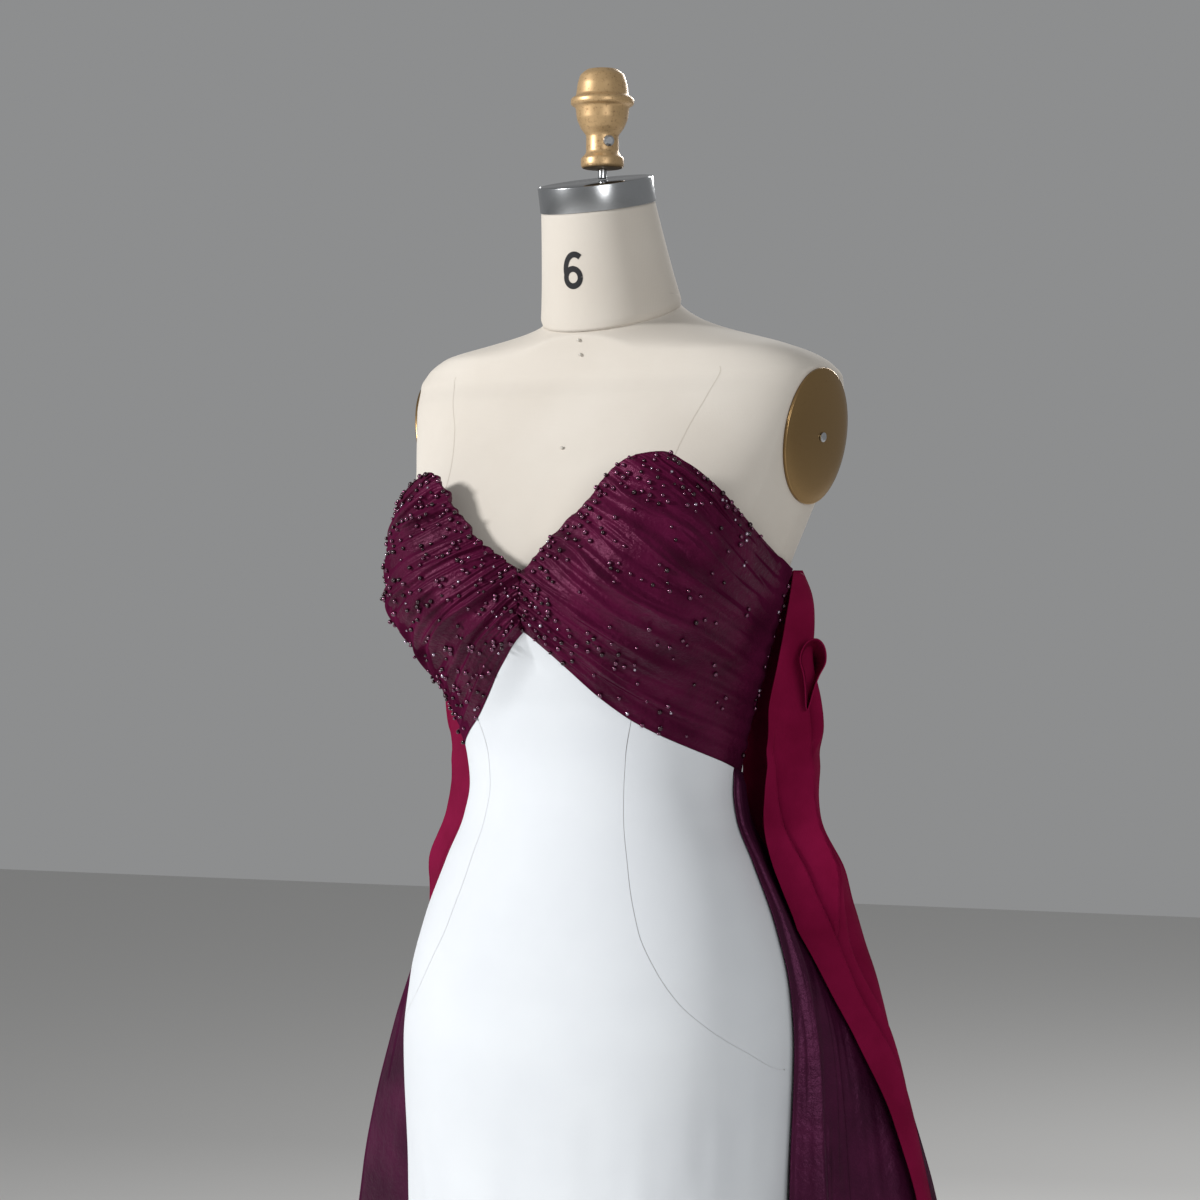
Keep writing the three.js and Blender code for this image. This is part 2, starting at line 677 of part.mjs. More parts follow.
function sheathSideFront(side) {
  const across = 6;
  const up = HIP_SEAM.length - 1;
  const top = underbust.z(SIDE_SEAM) - SEAM / 2;
  const bottom = HIP_SEAM[0].z;
  const grid = (i, j, drop) => {
    const seam = hipSeam(j, 1);
    const climb = (HIP_SEAM[j].z - bottom) / (HIP_SEAM[up].z - bottom);
    const edgeZ = mix(bottom, top, climb);
    const edge = SIDE_SEAM - seamAngle(edgeZ, SEAM);
    const t = i / across;
    const angle = mix(seam.angle, edge, t);
    const flat = mix(Math.min(seam.z, underbust.z(seam.angle) - SEAM / 2), edgeZ, t);
    const crown = underbust.z(angle) - SEAM / 2;
    const toEdge = ease(0.7, 1, climb) * Math.min(1, 3 * t);
    const z = j === up ? crown : Math.min(mix(flat, crown, toEdge), crown);
    return sheathPoint(angle, z, side, drop);
  };
  return wall(across, up, (i, j) => grid(i, j, 0), (i, j) => grid(i, j, SMOOTH_CLOTH));
}

function sheathBack(side) {
  const across = 10;
  const rows = [...SHEATH_LOW_ROWS, HIP_SEAM_START, ...SHEATH_HIGH_ROWS];
  const grid = (i, j, drop) => {
    const t = i / across;
    const z = j < rows.length ? rows[j] : 0;
    const gap = seamAngle(z || 1070, SEAM);
    const angle = mix(SIDE_SEAM + gap, 180 - gap, t);
    return sheathPoint(angle, z || underbust.z(angle) - SEAM / 2, side, drop);
  };
  return wall(across, rows.length, (i, j) => grid(i, j, 0), (i, j) => grid(i, j, SMOOTH_CLOTH));
}

const BODICE_ANGLES = [0, 3, 7, 11, 16, 22, 29, 37, 46, 56, 67, 79, 91, 105];

// The four edges of a cup, as angle and height: along its lower edge, its outer neckline from
// the peak to the side, its centre front and inner neckline, and its side seam.
function cupEdges(side) {
  const gap = seamAngle(1100, SEAM);
  const last = BODICE_SIDE - gap;
  const peak = side > 0 ? PEAK.left : PEAK.right;
  const foot = (angle) => underbust.z(angle) + SEAM / 2;
  return {
    lower(r) {
      const node = BODICE_ANGLES[Math.round(r * (BODICE_ANGLES.length - 1))];
      const angle = Math.min(last, Math.max(gap, node));
      return [angle, foot(angle)];
    },
    upper(r) {
      const angle = mix(peak, last, r);
      return [angle, neckline(side, angle)];
    },
    inner(q) {
      if (q < GATHER_CENTRE) {
        return [gap, mix(foot(gap), neckline(side, gap), q / GATHER_CENTRE)];
      }
      const angle = mix(gap, peak, (q - GATHER_CENTRE) / (1 - GATHER_CENTRE));
      return [angle, neckline(side, angle)];
    },
    seam(q) {
      return [last, mix(foot(last), neckline(side, last), q)];
    },
  };
}

// A place on a cup, r from the inner edge to the side seam and q from the lower edge to the
// neckline: the sum of what each pair of edges gives, less what the corners give.
function cupPlace(edges, r, q) {
  const [low, high, inner, seam] = [edges.lower(r), edges.upper(r), edges.inner(q), edges.seam(q)];
  const [lowIn, lowOut] = [edges.lower(0), edges.lower(1)];
  const [highIn, highOut] = [edges.upper(0), edges.upper(1)];
  return [0, 1].map((k) => {
    const corners = mix(mix(lowIn[k], lowOut[k], r), mix(highIn[k], highOut[k], r), q);
    return mix(low[k], high[k], q) + mix(inner[k], seam[k], r) - corners;
  });
}

// Each gather is a raised cosine across q, on one outer row in two, and lower near the side.
function bodiceFront(side) {
  const across = BODICE_ANGLES.length - 1;
  const up = 2 * GATHERS.length;
  const edges = cupEdges(side);
  const grid = (i, j, lift, drop) => {
    const [angle, z] = cupPlace(edges, i / across, j / up);
    const fade = 1 - 0.45 * ease(60, BODICE_SIDE, angle);
    const fold = j % 2 ? lift * fade * GATHERS[(j - 1) / 2] : 0;
    return mirrored(around(angle, z, bodiceOut(angle, z, side) - drop + fold), side);
  };
  const outer = (i, j) => grid(i, j, 1, 0);
  return wall(across, up, outer, (i, j) => grid(i, j, 0, BODICE_CLOTH));
}

const BODICE_BACK_ANGLES = [105, 112, 118, 127, 137, 147, 158, 169, 180];

function bodiceBack(side) {
  const across = BODICE_BACK_ANGLES.length - 1;
  const up = 6;
  const grid = (i, j, drop) => {
    const first = BODICE_SIDE + seamAngle(1100, SEAM);
    const angle = Math.max(first, BODICE_BACK_ANGLES[i]);
    const z = mix(underbust.z(angle) + SEAM / 2, neckline(side, angle), j / up);
    const point = around(angle, z, bodiceOut(angle, z, side) - drop);
    point.x = Math.max(point.x, ZIP.tape + SEAM / 2);
    return mirrored(point, side);
  };
  return wall(across, up, (i, j) => grid(i, j, 0), (i, j) => grid(i, j, BODICE_CLOTH));
}

const OVERSKIRT_ROWS = [HEM, 120, 240, 360, 480, 600, 716, 787, 855, 919, 960, 1000, 1035];

// Two columns on each flute's flanks, one on its crest and one in the valley beside it.
function overskirtPlaces(flutes) {
  const places = [0];
  flutes.forEach((flute, i) => {
    for (const share of [-0.9, 0, 0.9]) {
      places.push(flute.at + share * flute.half);
    }
    const next = flutes[i + 1];
    if (next) {
      places.push((flute.at + flute.half * 1.9 + next.at - next.half * 1.9) / 2);
    }
  });
  places.push(1);
  return places.filter((place, i) => i === 0 || place > places[i - 1]);
}

function overskirt(side) {
  const flutes = side > 0 ? FLUTES_LEFT : FLUTES_RIGHT;
  const start = side > 0 ? SWING_LEFT[0].angle : SWING_RIGHT[0].angle;
  const places = overskirtPlaces(flutes);
  const grid = (i, j, drop) => {
    const z = j < OVERSKIRT_ROWS.length ? OVERSKIRT_ROWS[j] : 0;
    const gap = seamAngle(z || 1070, SEAM);
    const angle = Math.min(180 - gap, mix(start, 180, places[i]));
    const height = z || underbust.z(angle) - SEAM / 2;
    const point = around(angle, height, overskirtOut(side, angle, height) - drop);
    if (i === places.length - 1) {
      point.x = SEAM / 2;
    }
    return mirrored(point, side);
  };
  const across = places.length - 1;
  const up = OVERSKIRT_ROWS.length;
  return wall(across, up, (i, j) => grid(i, j, 0), (i, j) => grid(i, j, SMOOTH_CLOTH));
}

// Which interval of a rising list a value falls in, and its share of that interval.
function interval(list, value) {
  let i = 0;
  while (i < list.length - 2 && value > list[i + 1]) {
    i += 1;
  }
  return { i, t: Math.min(1, Math.max(0, (value - list[i]) / (list[i + 1] - list[i]))) };
}

// The overskirt's outer face as its flat facets have it, between its columns and rows.
function facetOut(side, angle, z) {
  const flutes = side > 0 ? FLUTES_LEFT : FLUTES_RIGHT;
  const start = side > 0 ? SWING_LEFT[0].angle : SWING_RIGHT[0].angle;
  const angles = overskirtPlaces(flutes).map((place) => mix(start, 180, place));
  const heights = [...OVERSKIRT_ROWS, underbust.z(angle) - SEAM / 2];
  const a = interval(angles, angle);
  const h = interval(heights, z);
  const out = (i, j) => overskirtOut(side, angles[a.i + i], heights[h.i + j]);
  return mix(mix(out(0, 0), out(1, 0), a.t), mix(out(0, 1), out(1, 1), a.t), h.t);
}

// What a drape lies on: the bodice above the waist, and below it the overskirt's highest facet
// within reach.
function coverOut(side, angle, z) {
  const waist = underbust.z(angle);
  const near = [-DRAPE_REACH, 0, DRAPE_REACH].map((reach) => angle + reach);
  const below = Math.max(...near.map((place) => facetOut(side, place, Math.min(z, waist))));
  return mix(below, bodiceOut(angle, z), ease(waist, waist + 20, z));
}

const DRAPE_ACROSS = 10;

function drapePiece(side) {
  const up = DRAPE.length - 1;
  const grid = (i, j, thick) => {
    const s = i / DRAPE_ACROSS;
    const row = DRAPE[j];
    const front = s < DRAPE_FULL_AT;
    const t = front ? s / DRAPE_FULL_AT : (s - DRAPE_FULL_AT) / (1 - DRAPE_FULL_AT);
    const angle = front ? mix(row.front, row.full, t) : mix(row.full, row.back, t);
    const bow = Math.sin(Math.PI / 2 * (front ? t : 1 - t));
    const edge = front ? row.offFront : row.offBack;
    const off = mix(edge, row.offFull, front ? bow ** 1.3 : bow ** 1.6);
    const deep = Math.min(DRAPE_FOLDS.most, off * DRAPE_FOLDS.share);
    const fold = deep * (1 - Math.cos(2 * Math.PI * DRAPE_FOLDS.count * s)) / 2;
    const out = coverOut(side, angle, row.z) + off - fold + thick;
    return mirrored(around(angle, row.z, out), side);
  };
  return wall(DRAPE_ACROSS, up, (i, j) => grid(i, j, SMOOTH_CLOTH), (i, j) => grid(i, j, 0));
}

// The zip's tape fills the gap between the bodice's backs, with its teeth as a low ridge.
function zipTape() {
  const places = [-1, -0.4, 0.4, 1];
  const up = 8;
  const outer = (i, j) => {
    const z = mix(ZIP.bottom, ZIP.top, j / up);
    const ridge = i === 1 || i === 2 ? ZIP.ridge : 0;
    const point = around(180, z, bodiceOut(180, z) + ridge);
    point.x = places[i] * ZIP.half;
    return point;
  };
  const inner = (i, j) => {
    const z = mix(ZIP.bottom, ZIP.top, j / up);
    const point = around(180, z, bodiceOut(180, z) - BODICE_CLOTH);
    point.x = places[i] * ZIP.half;
    return point;
  };
  return wall(3, up, outer, inner);
}

// The slider's outer face, from which its arch and its pull tab are placed.
const sliderFace = Math.max(
  around(180, SLIDER.z - SLIDER.tall / 2, bodiceOut(180, SLIDER.z)).y,
  around(180, SLIDER.z + SLIDER.tall / 2, bodiceOut(180, SLIDER.z)).y,
) + ZIP.ridge + SEAM + SLIDER.thick;
const pullAxis = { y: sliderFace + 1, z: SLIDER.z };

function box(x, y, z, low, thick, tall) {
  return new THREE.BoxGeometry(x, thick, tall).translate(0, y + low + thick / 2, z);
}

function zipSlider() {
  const s = SLIDER;
  const plate = toManifold(box(2 * s.half, sliderFace, s.z, -s.thick, s.thick, s.tall));
  const rise = s.archLow + s.arch;
  const arch = toManifold(box(2 * s.archHalf, sliderFace, s.z, -0.4, rise + 0.4, 7));
  const space = toManifold(box(4 * s.archHalf, sliderFace, s.z, 0, s.archLow, 5));
  return fromManifold(plate.add(arch.subtract(space)));
}

function zipPull() {
  const p = PULL;
  const low = -p.thick / 2;
  const middle = pullAxis.z - p.length / 2;
  const strip = toManifold(box(2 * p.half, pullAxis.y, middle, low, p.thick, p.length));
  const hole = box(2 * p.window, pullAxis.y, pullAxis.z - p.bar - p.windowTall / 2, -2, 4, p.windowTall);
  const bar = new THREE.CylinderGeometry(p.bar, p.bar, 2 * p.half, 12).rotateZ(Math.PI / 2);
  bar.translate(0, pullAxis.y, pullAxis.z);
  return fromManifold(strip.subtract(toManifold(hole)).add(toManifold(bar)));
}

const LOOKS = {
  linen: { color: '#ece7df', roughness: 0.9, metalness: 0 },
  satin: { color: '#561c38', roughness: 0.5, metalness: 0 },
  crepe: { color: '#e9ebee', roughness: 0.85, metalness: 0 },
  taffeta: { color: '#4e1b36', roughness: 0.4, metalness: 0 },
  crimson: { color: '#7d1238', roughness: 0.6, metalness: 0 },
  steel: { color: '#b9bbbe', roughness: 0.3, metalness: 1 },
  polished: { color: '#6d6f73', roughness: 0.12, metalness: 1 },
  gold: { color: '#c9a872', roughness: 0.35, metalness: 1 },
  wood: { color: '#c39a5e', roughness: 0.45, metalness: 0.3 },
  zinc: { color: '#c6c8ca', roughness: 0.35, metalness: 1 },
  iron: { color: '#2b2b2d', roughness: 0.55, metalness: 0.2 },
};

const dress = new THREE.Group();

function add(name, look, geometry) {
  geometry.deleteAttribute('uv');
  const mesh = new THREE.Mesh(geometry, new THREE.MeshStandardMaterial(LOOKS[look]));
  mesh.name = name;
  dress.add(mesh);
  return mesh;
}

add('form_torso', 'linen', torso());
add('neck_cap_band', 'steel', capBand());
add('neck_cap_plate', 'polished', capPlate());
add('finial_rod', 'steel', turned([
  { radius: 0, z: ROD.bottom },
  { radius: ROD.radius, z: ROD.bottom },
  { radius: ROD.radius, z: ROD.top },
  { radius: 0, z: ROD.top },
], 20).translate(0, ROD.y, 0));
add('finial', 'wood', turned(FINIAL, 22).translate(0, ROD.y, 0));
add('finial_set_screw', 'zinc', setScrew());
add('form_pole', 'steel', turned([
  { radius: 0, z: BASE[BASE.length - 1].z + SEAM },
  { radius: POLE_RADIUS, z: BASE[BASE.length - 1].z + SEAM },
  { radius: POLE_RADIUS, z: TORSO_BOTTOM - SEAM },
  { radius: 0, z: TORSO_BOTTOM - SEAM },
], 24));
add('form_base', 'iron', turned(BASE, 32));
for (const [name, side] of [['left', 1], ['right', -1]]) {
  add(`arm_plate_${name}`, 'gold', armPlate(side));
  add(`arm_plate_screw_${name}`, 'zinc', armScrew(side));
  add(`bodice_front_${name}`, 'satin', bodiceFront(side));
  add(`bodice_back_${name}`, 'satin', bodiceBack(side));
  add(`sheath_side_front_${name}`, 'crepe', sheathSideFront(side));
  add(`sheath_back_${name}`, 'crepe', sheathBack(side));
  add(`overskirt_${name}`, 'taffeta', overskirt(side));
  add(`drape_${name}`, 'crimson', drapePiece(side));
}
add('sheath_front', 'crepe', sheathFront());
add('zip', 'satin', zipTape());
add('zip_slider', 'zinc', zipSlider());
add('zip_pull_tab', 'zinc', zipPull());

export default dress;
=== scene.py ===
import math

import bmesh
import bpy
import numpy as np
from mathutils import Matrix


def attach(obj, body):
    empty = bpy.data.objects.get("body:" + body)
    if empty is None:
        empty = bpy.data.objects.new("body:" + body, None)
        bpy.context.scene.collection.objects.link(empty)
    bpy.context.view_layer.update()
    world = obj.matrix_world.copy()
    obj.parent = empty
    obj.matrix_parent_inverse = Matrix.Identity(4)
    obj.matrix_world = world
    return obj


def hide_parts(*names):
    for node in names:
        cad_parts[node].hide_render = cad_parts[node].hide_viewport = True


bl_info = {
    "name": "Maxi dress on a dress form",
    "version": (1, 0, 0),
    "blender": (4, 5, 0),
    "location": "3D View > Sidebar > Dress",
    "description": "Builds the cloth, beads, form and stand of a strapless evening dress",
    "category": "Add Mesh",
}

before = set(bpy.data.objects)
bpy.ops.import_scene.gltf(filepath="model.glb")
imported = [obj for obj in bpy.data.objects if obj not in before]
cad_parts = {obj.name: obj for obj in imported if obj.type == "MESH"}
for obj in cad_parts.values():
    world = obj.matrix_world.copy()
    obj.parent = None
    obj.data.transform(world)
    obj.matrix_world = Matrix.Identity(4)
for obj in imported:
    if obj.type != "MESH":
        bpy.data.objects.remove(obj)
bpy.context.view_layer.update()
ROOT = "dress_and_form"
SIDES = ((1, "left"), (-1, "right"))

# Tables. Heights and distances are in millimetres and angles in degrees about the form's axis:
# 0 at the centre front, 90 at the side, 180 at the centre back. They are those of the solids.

BODY = {
    "z": (5, 160, 330, 480, 640, 740, 850, 900, 950, 1000, 1035, 1060, 1085, 1120, 1160, 1200,
          1240, 1280, 1320, 1350, 1380, 1397, 1408, 1417, 1430, 1443, 1456, 1468),
    "half": (245, 216, 184, 168, 162, 164, 168, 164, 152, 133, 118, 114, 117, 126, 138, 149,
             158, 168, 179, 186, 191, 191, 184, 170, 134, 102, 75, 57),
    "centre": (12, 8, 4, 1, 0, 0, 2, 4, 4, 4, 5, 7, 8, 7, 4, 1,
               4, 15, 28, 36, 41, 43, 41, 38.5, 34.5, 31, 27.5, 22.5),
    "depth": (222, 186, 148, 127, 118, 118, 124, 122, 113, 100, 91, 88, 89, 94, 103, 110,
              110, 107, 104, 98, 90, 82, 79, 76.5, 73.5, 70, 65.5, 59.5),
    "front": (2.1, 2.1, 2.15, 2.2, 2.2, 2.25, 2.25, 2.2, 2.15, 2.1, 2.1, 2.1, 2.1, 2.1, 2.15,
              2.2, 2.25, 2.3, 2.4, 2.5, 2.5, 2.5, 2.4, 2.4, 2.3, 2.2, 2.1, 2.0),
    "back": (2.1, 2.1, 2.15, 2.2, 2.2, 2.25, 2.3, 2.25, 2.2, 2.1, 2.1, 2.1, 2.1, 2.15, 2.2,
             2.3, 2.5, 2.8, 3.0, 3.1, 3.1, 3.0, 2.8, 2.6, 2.4, 2.2, 2.1, 2.0),
}
CHEST = {
    "z": (1130, 1160, 1180, 1200, 1222, 1250, 1290, 1330, 1360),
    "lift": (0, 8, 16, 25, 29, 26, 13, 3, 0),
    "angle": (40, 40, 40, 40, 40, 38, 36, 34, 34),
    "spread": (30, 28, 28, 28, 28, 28, 28, 28, 28),
}
CUP = {
    "z": (1060, 1112, 1139, 1160, 1180, 1200, 1222, 1260, 1290, 1325, 1345),
    "lift": (0, 1, 7, 14, 24, 32, 36, 36, 38, 43, 45),
    "angle": (40, 40, 41, 41, 40, 38, 37, 34, 31, 27, 26),
    "spread": (34, 34, 33, 33, 33, 32, 31, 29, 28, 27, 26),
}
CUP_RIGHT = {"less": 0.25, "low": 1200, "high": 1330}
NECKLINE = {
    1: {"angle": (0, 2, 5, 9, 13, 15, 18, 22, 27, 34, 44, 59, 81, 105, 180),
        "z": (1235, 1243, 1255, 1276, 1289, 1303, 1320, 1328, 1330, 1321, 1304, 1280, 1256, 1240,
              1234)},
    -1: {"angle": (0, 2, 6, 11, 15, 18, 20, 23, 26, 31, 38, 47, 59, 81, 105, 180),
         "z": (1235, 1241, 1251, 1263, 1278, 1290, 1303, 1315, 1318.5, 1313, 1304, 1295, 1279,
               1256, 1240, 1234)},
}
PEAK = {1: 27, -1: 26}
UNDERBUST = {
    "angle": (0, 10, 22, 35, 55, 80, 105, 180),
    "z": (1187, 1160, 1133, 1114, 1097, 1083, 1073, 1068),
}
HIP_SEAM = {
    "z": (834.6, 836, 841, 852, 862, 875, 893, 920, 950, 985, 1035, 1085, 1116.5),
    "angle": (90, 86.5, 80, 70.5, 62, 53.5, 45, 38, 33.5, 32, 31.7, 31.5, 33),
}
SWING = {
    "z": (5, 250, 480, 716, 787, 855, 919, 985, 1030, 1075),
    "share": (2.0, 1.85, 1.5, 1.0, 0.82, 0.58, 0.36, 0.1, 0.02, 0),
    "flute": (54, 44, 34, 26, 20, 14, 9, 5, 2.6, 1.4),
}
SPREAD = {
    1: {"angle": (93, 103, 110, 118, 127, 145, 180), "out": (1, 16, 38, 66, 98, 132, 158)},
    -1: {"angle": (91, 94, 100, 110, 127, 145, 180), "out": (1, 44, 74, 88, 108, 132, 158)},
}
FLUTES = {
    1: ((0.05, 0.045, 0.9), (0.31, 0.05, 1.0), (0.47, 0.04, 0.75), (0.63, 0.042, 1.0),
        (0.79, 0.04, 0.8), (0.94, 0.036, 0.9)),
    -1: ((0.09, 0.045, 0.9), (0.26, 0.042, 0.8), (0.43, 0.045, 1.0), (0.61, 0.042, 0.75),
         (0.78, 0.042, 1.0), (0.94, 0.036, 0.85)),
}
DRAPE = {
    "z": (12, 240, 480, 600, 716, 787, 855, 919, 960, 1000, 1035, 1060, 1095, 1130, 1165,
          1190, 1215, 1238),
    "front": (114, 115, 116, 116, 116, 115, 112, 106, 102, 100, 100, 100, 99, 97, 97, 99, 103,
              108),
    "full": (118, 119, 120, 120, 119.5, 118.5, 115.5, 110, 108, 107, 107, 107, 106, 105, 105,
             106, 109, 112),
    "back": (124, 124, 125, 125, 124, 124, 127, 132, 135, 136, 136, 136, 135, 134, 132, 131,
             129, 126),
    "off_front": (3, 3, 3, 3, 3, 3, 3, 1.2, 1.2, 5, 14, 19, 20, 14, 12, 9, 5,
                  0.35),
    "off_full": (6, 6, 7, 8, 8, 9, 15, 31, 50, 68, 69, 70, 67, 60, 48, 38, 24, 7),
    "off_back": (2.5, 2.5, 2.5, 2.5, 2.5, 3, 4, 5, 6, 6, 6, 6, 6, 4, 4, 3.5, 2.5, 0.35),
}
# The drape's rolled edge, and its long creases: place across the drape, how far each slants,
# its lowest and highest points, its width as a share of the drape, and its depth.
LOOP = {"z": 1163, "wide": 10.0, "tall": 16.0, "lower": 9}
DRAPE_CREASES = (
    (0.06, 0.32, 830, 1110, 0.05, 24),
    (0.27, 0.16, 700, 1150, 0.05, 24),
    (0.36, 0.28, 640, 1110, 0.05, 14),
    (0.62, 0.12, 300, 1100, 0.06, 12),
)
# Heights of one cup's gathers, from its lower edge to its outer neckline. They start on the
# centre front, on this share of them, and above it on the inner neckline, up to its peak.
GATHERS = (1.4, 2.2, 1.7, 2.4, 1.9, 2.5, 2.0, 2.6, 2.1, 2.4, 1.9, 1.4)
GATHER_CENTRE = 0.3
CUP_ANGLES = (0, 3, 7, 11, 16, 22, 29, 37, 46, 56, 67, 79, 91, 105)
# Trails of beads on a cup, as angles and heights.
BEAD_TRAILS = (
    ((41, 1313), (50, 1287), (58, 1268), (64, 1245)),
    ((23, 1241), (33, 1233), (41, 1222), (51, 1208), (57, 1197)),
    ((4, 1198), (11, 1179), (27, 1168), (35, 1145), (43, 1126), (48, 1114)),
)
# The sheath's and bodice's distance out from the body, and the angle of the bodice's side seam.
SHEATH_OUT = 3.0
BODICE_OUT = 3.0
BODICE_SIDE = 105
# Half the gap at a seam, the hem's height, half the zip's opening, the sheath's rolled edge, and
# the height at which the hip seam meets the underbust seam.
SEAM = 0.15
HEM_Z = 6
ZIP_HALF = 3.65
HEM_ROLL = 1.5
HIP_TOP = 1116.2
# The neck's axis behind the middle, its root and top, and its tilts in degrees.
NECK_Y = 20
NECK_Z = (1452, 1540)
NECK_TILT = (17, 12.5)
GATHER_HEIGHT = 0.0022


def linear(hex_colour):
    """Turns an sRGB hex value into linear red, green, blue."""
    values = [int(hex_colour[i:i + 2], 16) / 255 for i in (1, 3, 5)]
    return tuple(v / 12.92 if v <= 0.04045 else ((v + 0.055) / 1.055) ** 2.4 for v in values)


def column(table, key, name):
    """A smooth curve through one column: cubic pieces whose slopes are harmonic means."""
    x = np.asarray(table[key], float)
    y = np.asarray(table[name], float)
    step = np.diff(x)
    rise = np.diff(y) / step
    slope = np.empty_like(y)
    slope[0], slope[-1] = rise[0], rise[-1]
    product = rise[:-1] * rise[1:]
    total = np.where(product > 0, rise[:-1] + rise[1:], 1)
    slope[1:-1] = np.where(product > 0, 2 * product / total, 0)

    def curve(at):
        at = np.clip(at, x[0], x[-1])
        i = np.clip(np.searchsorted(x, at, side="right") - 1, 0, len(x) - 2)
        t = (at - x[i]) / step[i]
        s = 1 - t
        ends = s * s * (1 + 2 * t) * y[i] + t * t * (3 - 2 * t) * y[i + 1]
        return ends + step[i] * t * s * (s * slope[i] - t * slope[i + 1])

    return curve


def columns(table, key):
    return {name: column(table, key, name) for name in table if name != key}


body = columns(BODY, "z")
chest = columns(CHEST, "z")
cup = columns(CUP, "z")
neckline = {side: column(NECKLINE[side], "angle", "z") for side in (1, -1)}
underbust = column(UNDERBUST, "angle", "z")
hip_seam = column(HIP_SEAM, "z", "angle")
swing = columns(SWING, "z")
spread = {side: column(SPREAD[side], "angle", "out") for side in (1, -1)}
drape = columns(DRAPE, "z")


def ease(low, high, value):
    """0 below low, 1 above high, and a smooth cubic step between them."""
    t = np.clip((value - low) / (high - low), 0, 1)
    return t * t * (3 - 2 * t)


def mix(a, b, share):
    return a + (b - a) * share


def around(angle, z, out):
    """A point of the body's rounded section at an angle and height, moved out: sine and cosine
    to a power times half width and half depth, plus the distance along the angle."""
    angle, z, out = np.broadcast_arrays(
        np.asarray(angle, float), np.asarray(z, float), np.asarray(out, float))
    s, c = np.sin(np.radians(angle)), np.cos(np.radians(angle))
    power = 2 / np.where(c > 0, body["front"](z), body["back"](z))
    x = body["half"](z) * np.sign(s) * np.abs(s) ** power + s * out
    y = body["centre"](z) - body["depth"](z) * np.sign(c) * np.abs(c) ** power - c * out
    return np.stack([x, y, z], -1)


def swell(curves, low, angle, z):
    away = (np.abs(angle) - curves["angle"](z)) / curves["spread"](z)
    return np.where(z > low, curves["lift"](z) * np.exp(-away ** 2), 0)


def chest_out(angle, z):
    return np.where(z < 1360, swell(chest, 1130, angle, z), 0)


def bodice_out(angle, z, side=1):
    """The cups' swell and the bridge between them; the right cup is closer near its top."""
    bridge = 8 * np.exp(-((z - 1225) / 60) ** 2 - (angle / 40) ** 2)
    less = 0 if side > 0 else CUP_RIGHT["less"] * ease(CUP_RIGHT["low"], CUP_RIGHT["high"], z)
    return BODICE_OUT + bridge + swell(cup, 1060, angle, z) * (1 - less)


def sheath_out(angle, z):
    """The body's chest plus a soft wave at the hem, eased out to the bodice at its own edge."""
    free = np.maximum(0, 1 - z / 640) ** 1.2
    wave = 6 * free * (1 + np.cos(np.radians(9 * angle))) / 2
    close = SHEATH_OUT + chest_out(angle, z) + wave
    edge = underbust(np.abs(angle))
    return mix(close, bodice_out(angle, z), ease(edge - 32, edge, z))


def flute_height(side, place):
    """The sum of one bell curve for each flute."""
    return sum(lift * np.exp(-((place - at) / half) ** 2) for at, half, lift in FLUTES[side])


def overskirt_out(side, angle, z):
    """The sheath's distance, plus the swing by angle times its share by height, plus flutes."""
    start = SPREAD[side]["angle"][0]
    place = (angle - start) / (180 - start)
    free = np.clip(place / 0.05, 0.25, 1)
    flute = swing["flute"](z) * flute_height(side, place) * free
    return sheath_out(angle, z) + 2.5 + spread[side](angle) * swing["share"](z) + flute


def drape_cover(side, angle, z):
    """The highest of the overskirt within three degrees, below the waist, and the bodice above."""
    waist = underbust(angle)
    below = np.max([overskirt_out(side, angle + reach, np.minimum(z, waist))
                    for reach in (-3, -1.5, 0, 1.5, 3)], 0)
    return mix(below, bodice_out(angle, z), ease(waist, waist + 20, z))


def smooth_noise(seed, x, y, size):
    """Value noise: random numbers on a square lattice, joined by smooth steps."""
    rng = np.random.default_rng(seed)
    lattice = rng.uniform(-1, 1, (64, 64))
    u, v = x / size, y / size
    i, j = np.floor(u).astype(int), np.floor(v).astype(int)
    a, b = ease(0, 1, u - i), ease(0, 1, v - j)
    at = lambda p, q: lattice[(i + p) % 64, (j + q) % 64]
    return mix(mix(at(0, 0), at(1, 0), a), mix(at(0, 1), at(1, 1), a), b)


# Meshes.

def put_grid(name, points, closed=False, uv=None):
    """A mesh from a grid of points in millimetres, with a UV map where one is given."""
    rows, across = points.shape[:2]
    index = np.arange(rows * across).reshape(rows, across)
    if closed:
        index = np.hstack([index, index[:, :1]])
    a, b, c, d = index[:-1, :-1], index[:-1, 1:], index[1:, 1:], index[1:, :-1]
    quads = np.stack([a, b, c, d], -1).reshape(-1, 4)
    return put_mesh(name, points.reshape(-1, 3) * 0.001, quads, uv)


def put_mesh(name, metres, faces, uv=None):
    mesh = bpy.data.meshes.new(name)
    mesh.from_pydata(metres.tolist(), [], faces.tolist())
    if uv is not None:
        layer = mesh.uv_layers.new(name="cloth")
        corner = np.empty(len(mesh.loops), int)
        mesh.loops.foreach_get("vertex_index", corner)
        layer.data.foreach_set("uv", uv.reshape(-1, 2)[corner].ravel())
    mesh.polygons.foreach_set("use_smooth", np.ones(len(mesh.polygons), bool))
    mesh.update()
    piece = bpy.data.objects.new(name, mesh)
    bpy.context.scene.collection.objects.link(piece)
    return piece


def cloth_uv(points):
    """Length along the cloth's rows and columns, in metres."""
    across = np.linalg.norm(np.diff(points, axis=1), axis=-1).mean(0)
    along = np.linalg.norm(np.diff(points, axis=0), axis=-1).mean(1)
    u = np.concatenate([[0], np.cumsum(across)]) * 0.001
    v = np.concatenate([[0], np.cumsum(along)]) * 0.001
    return np.stack(np.broadcast_arrays(u[None, :], v[:, None]), -1)


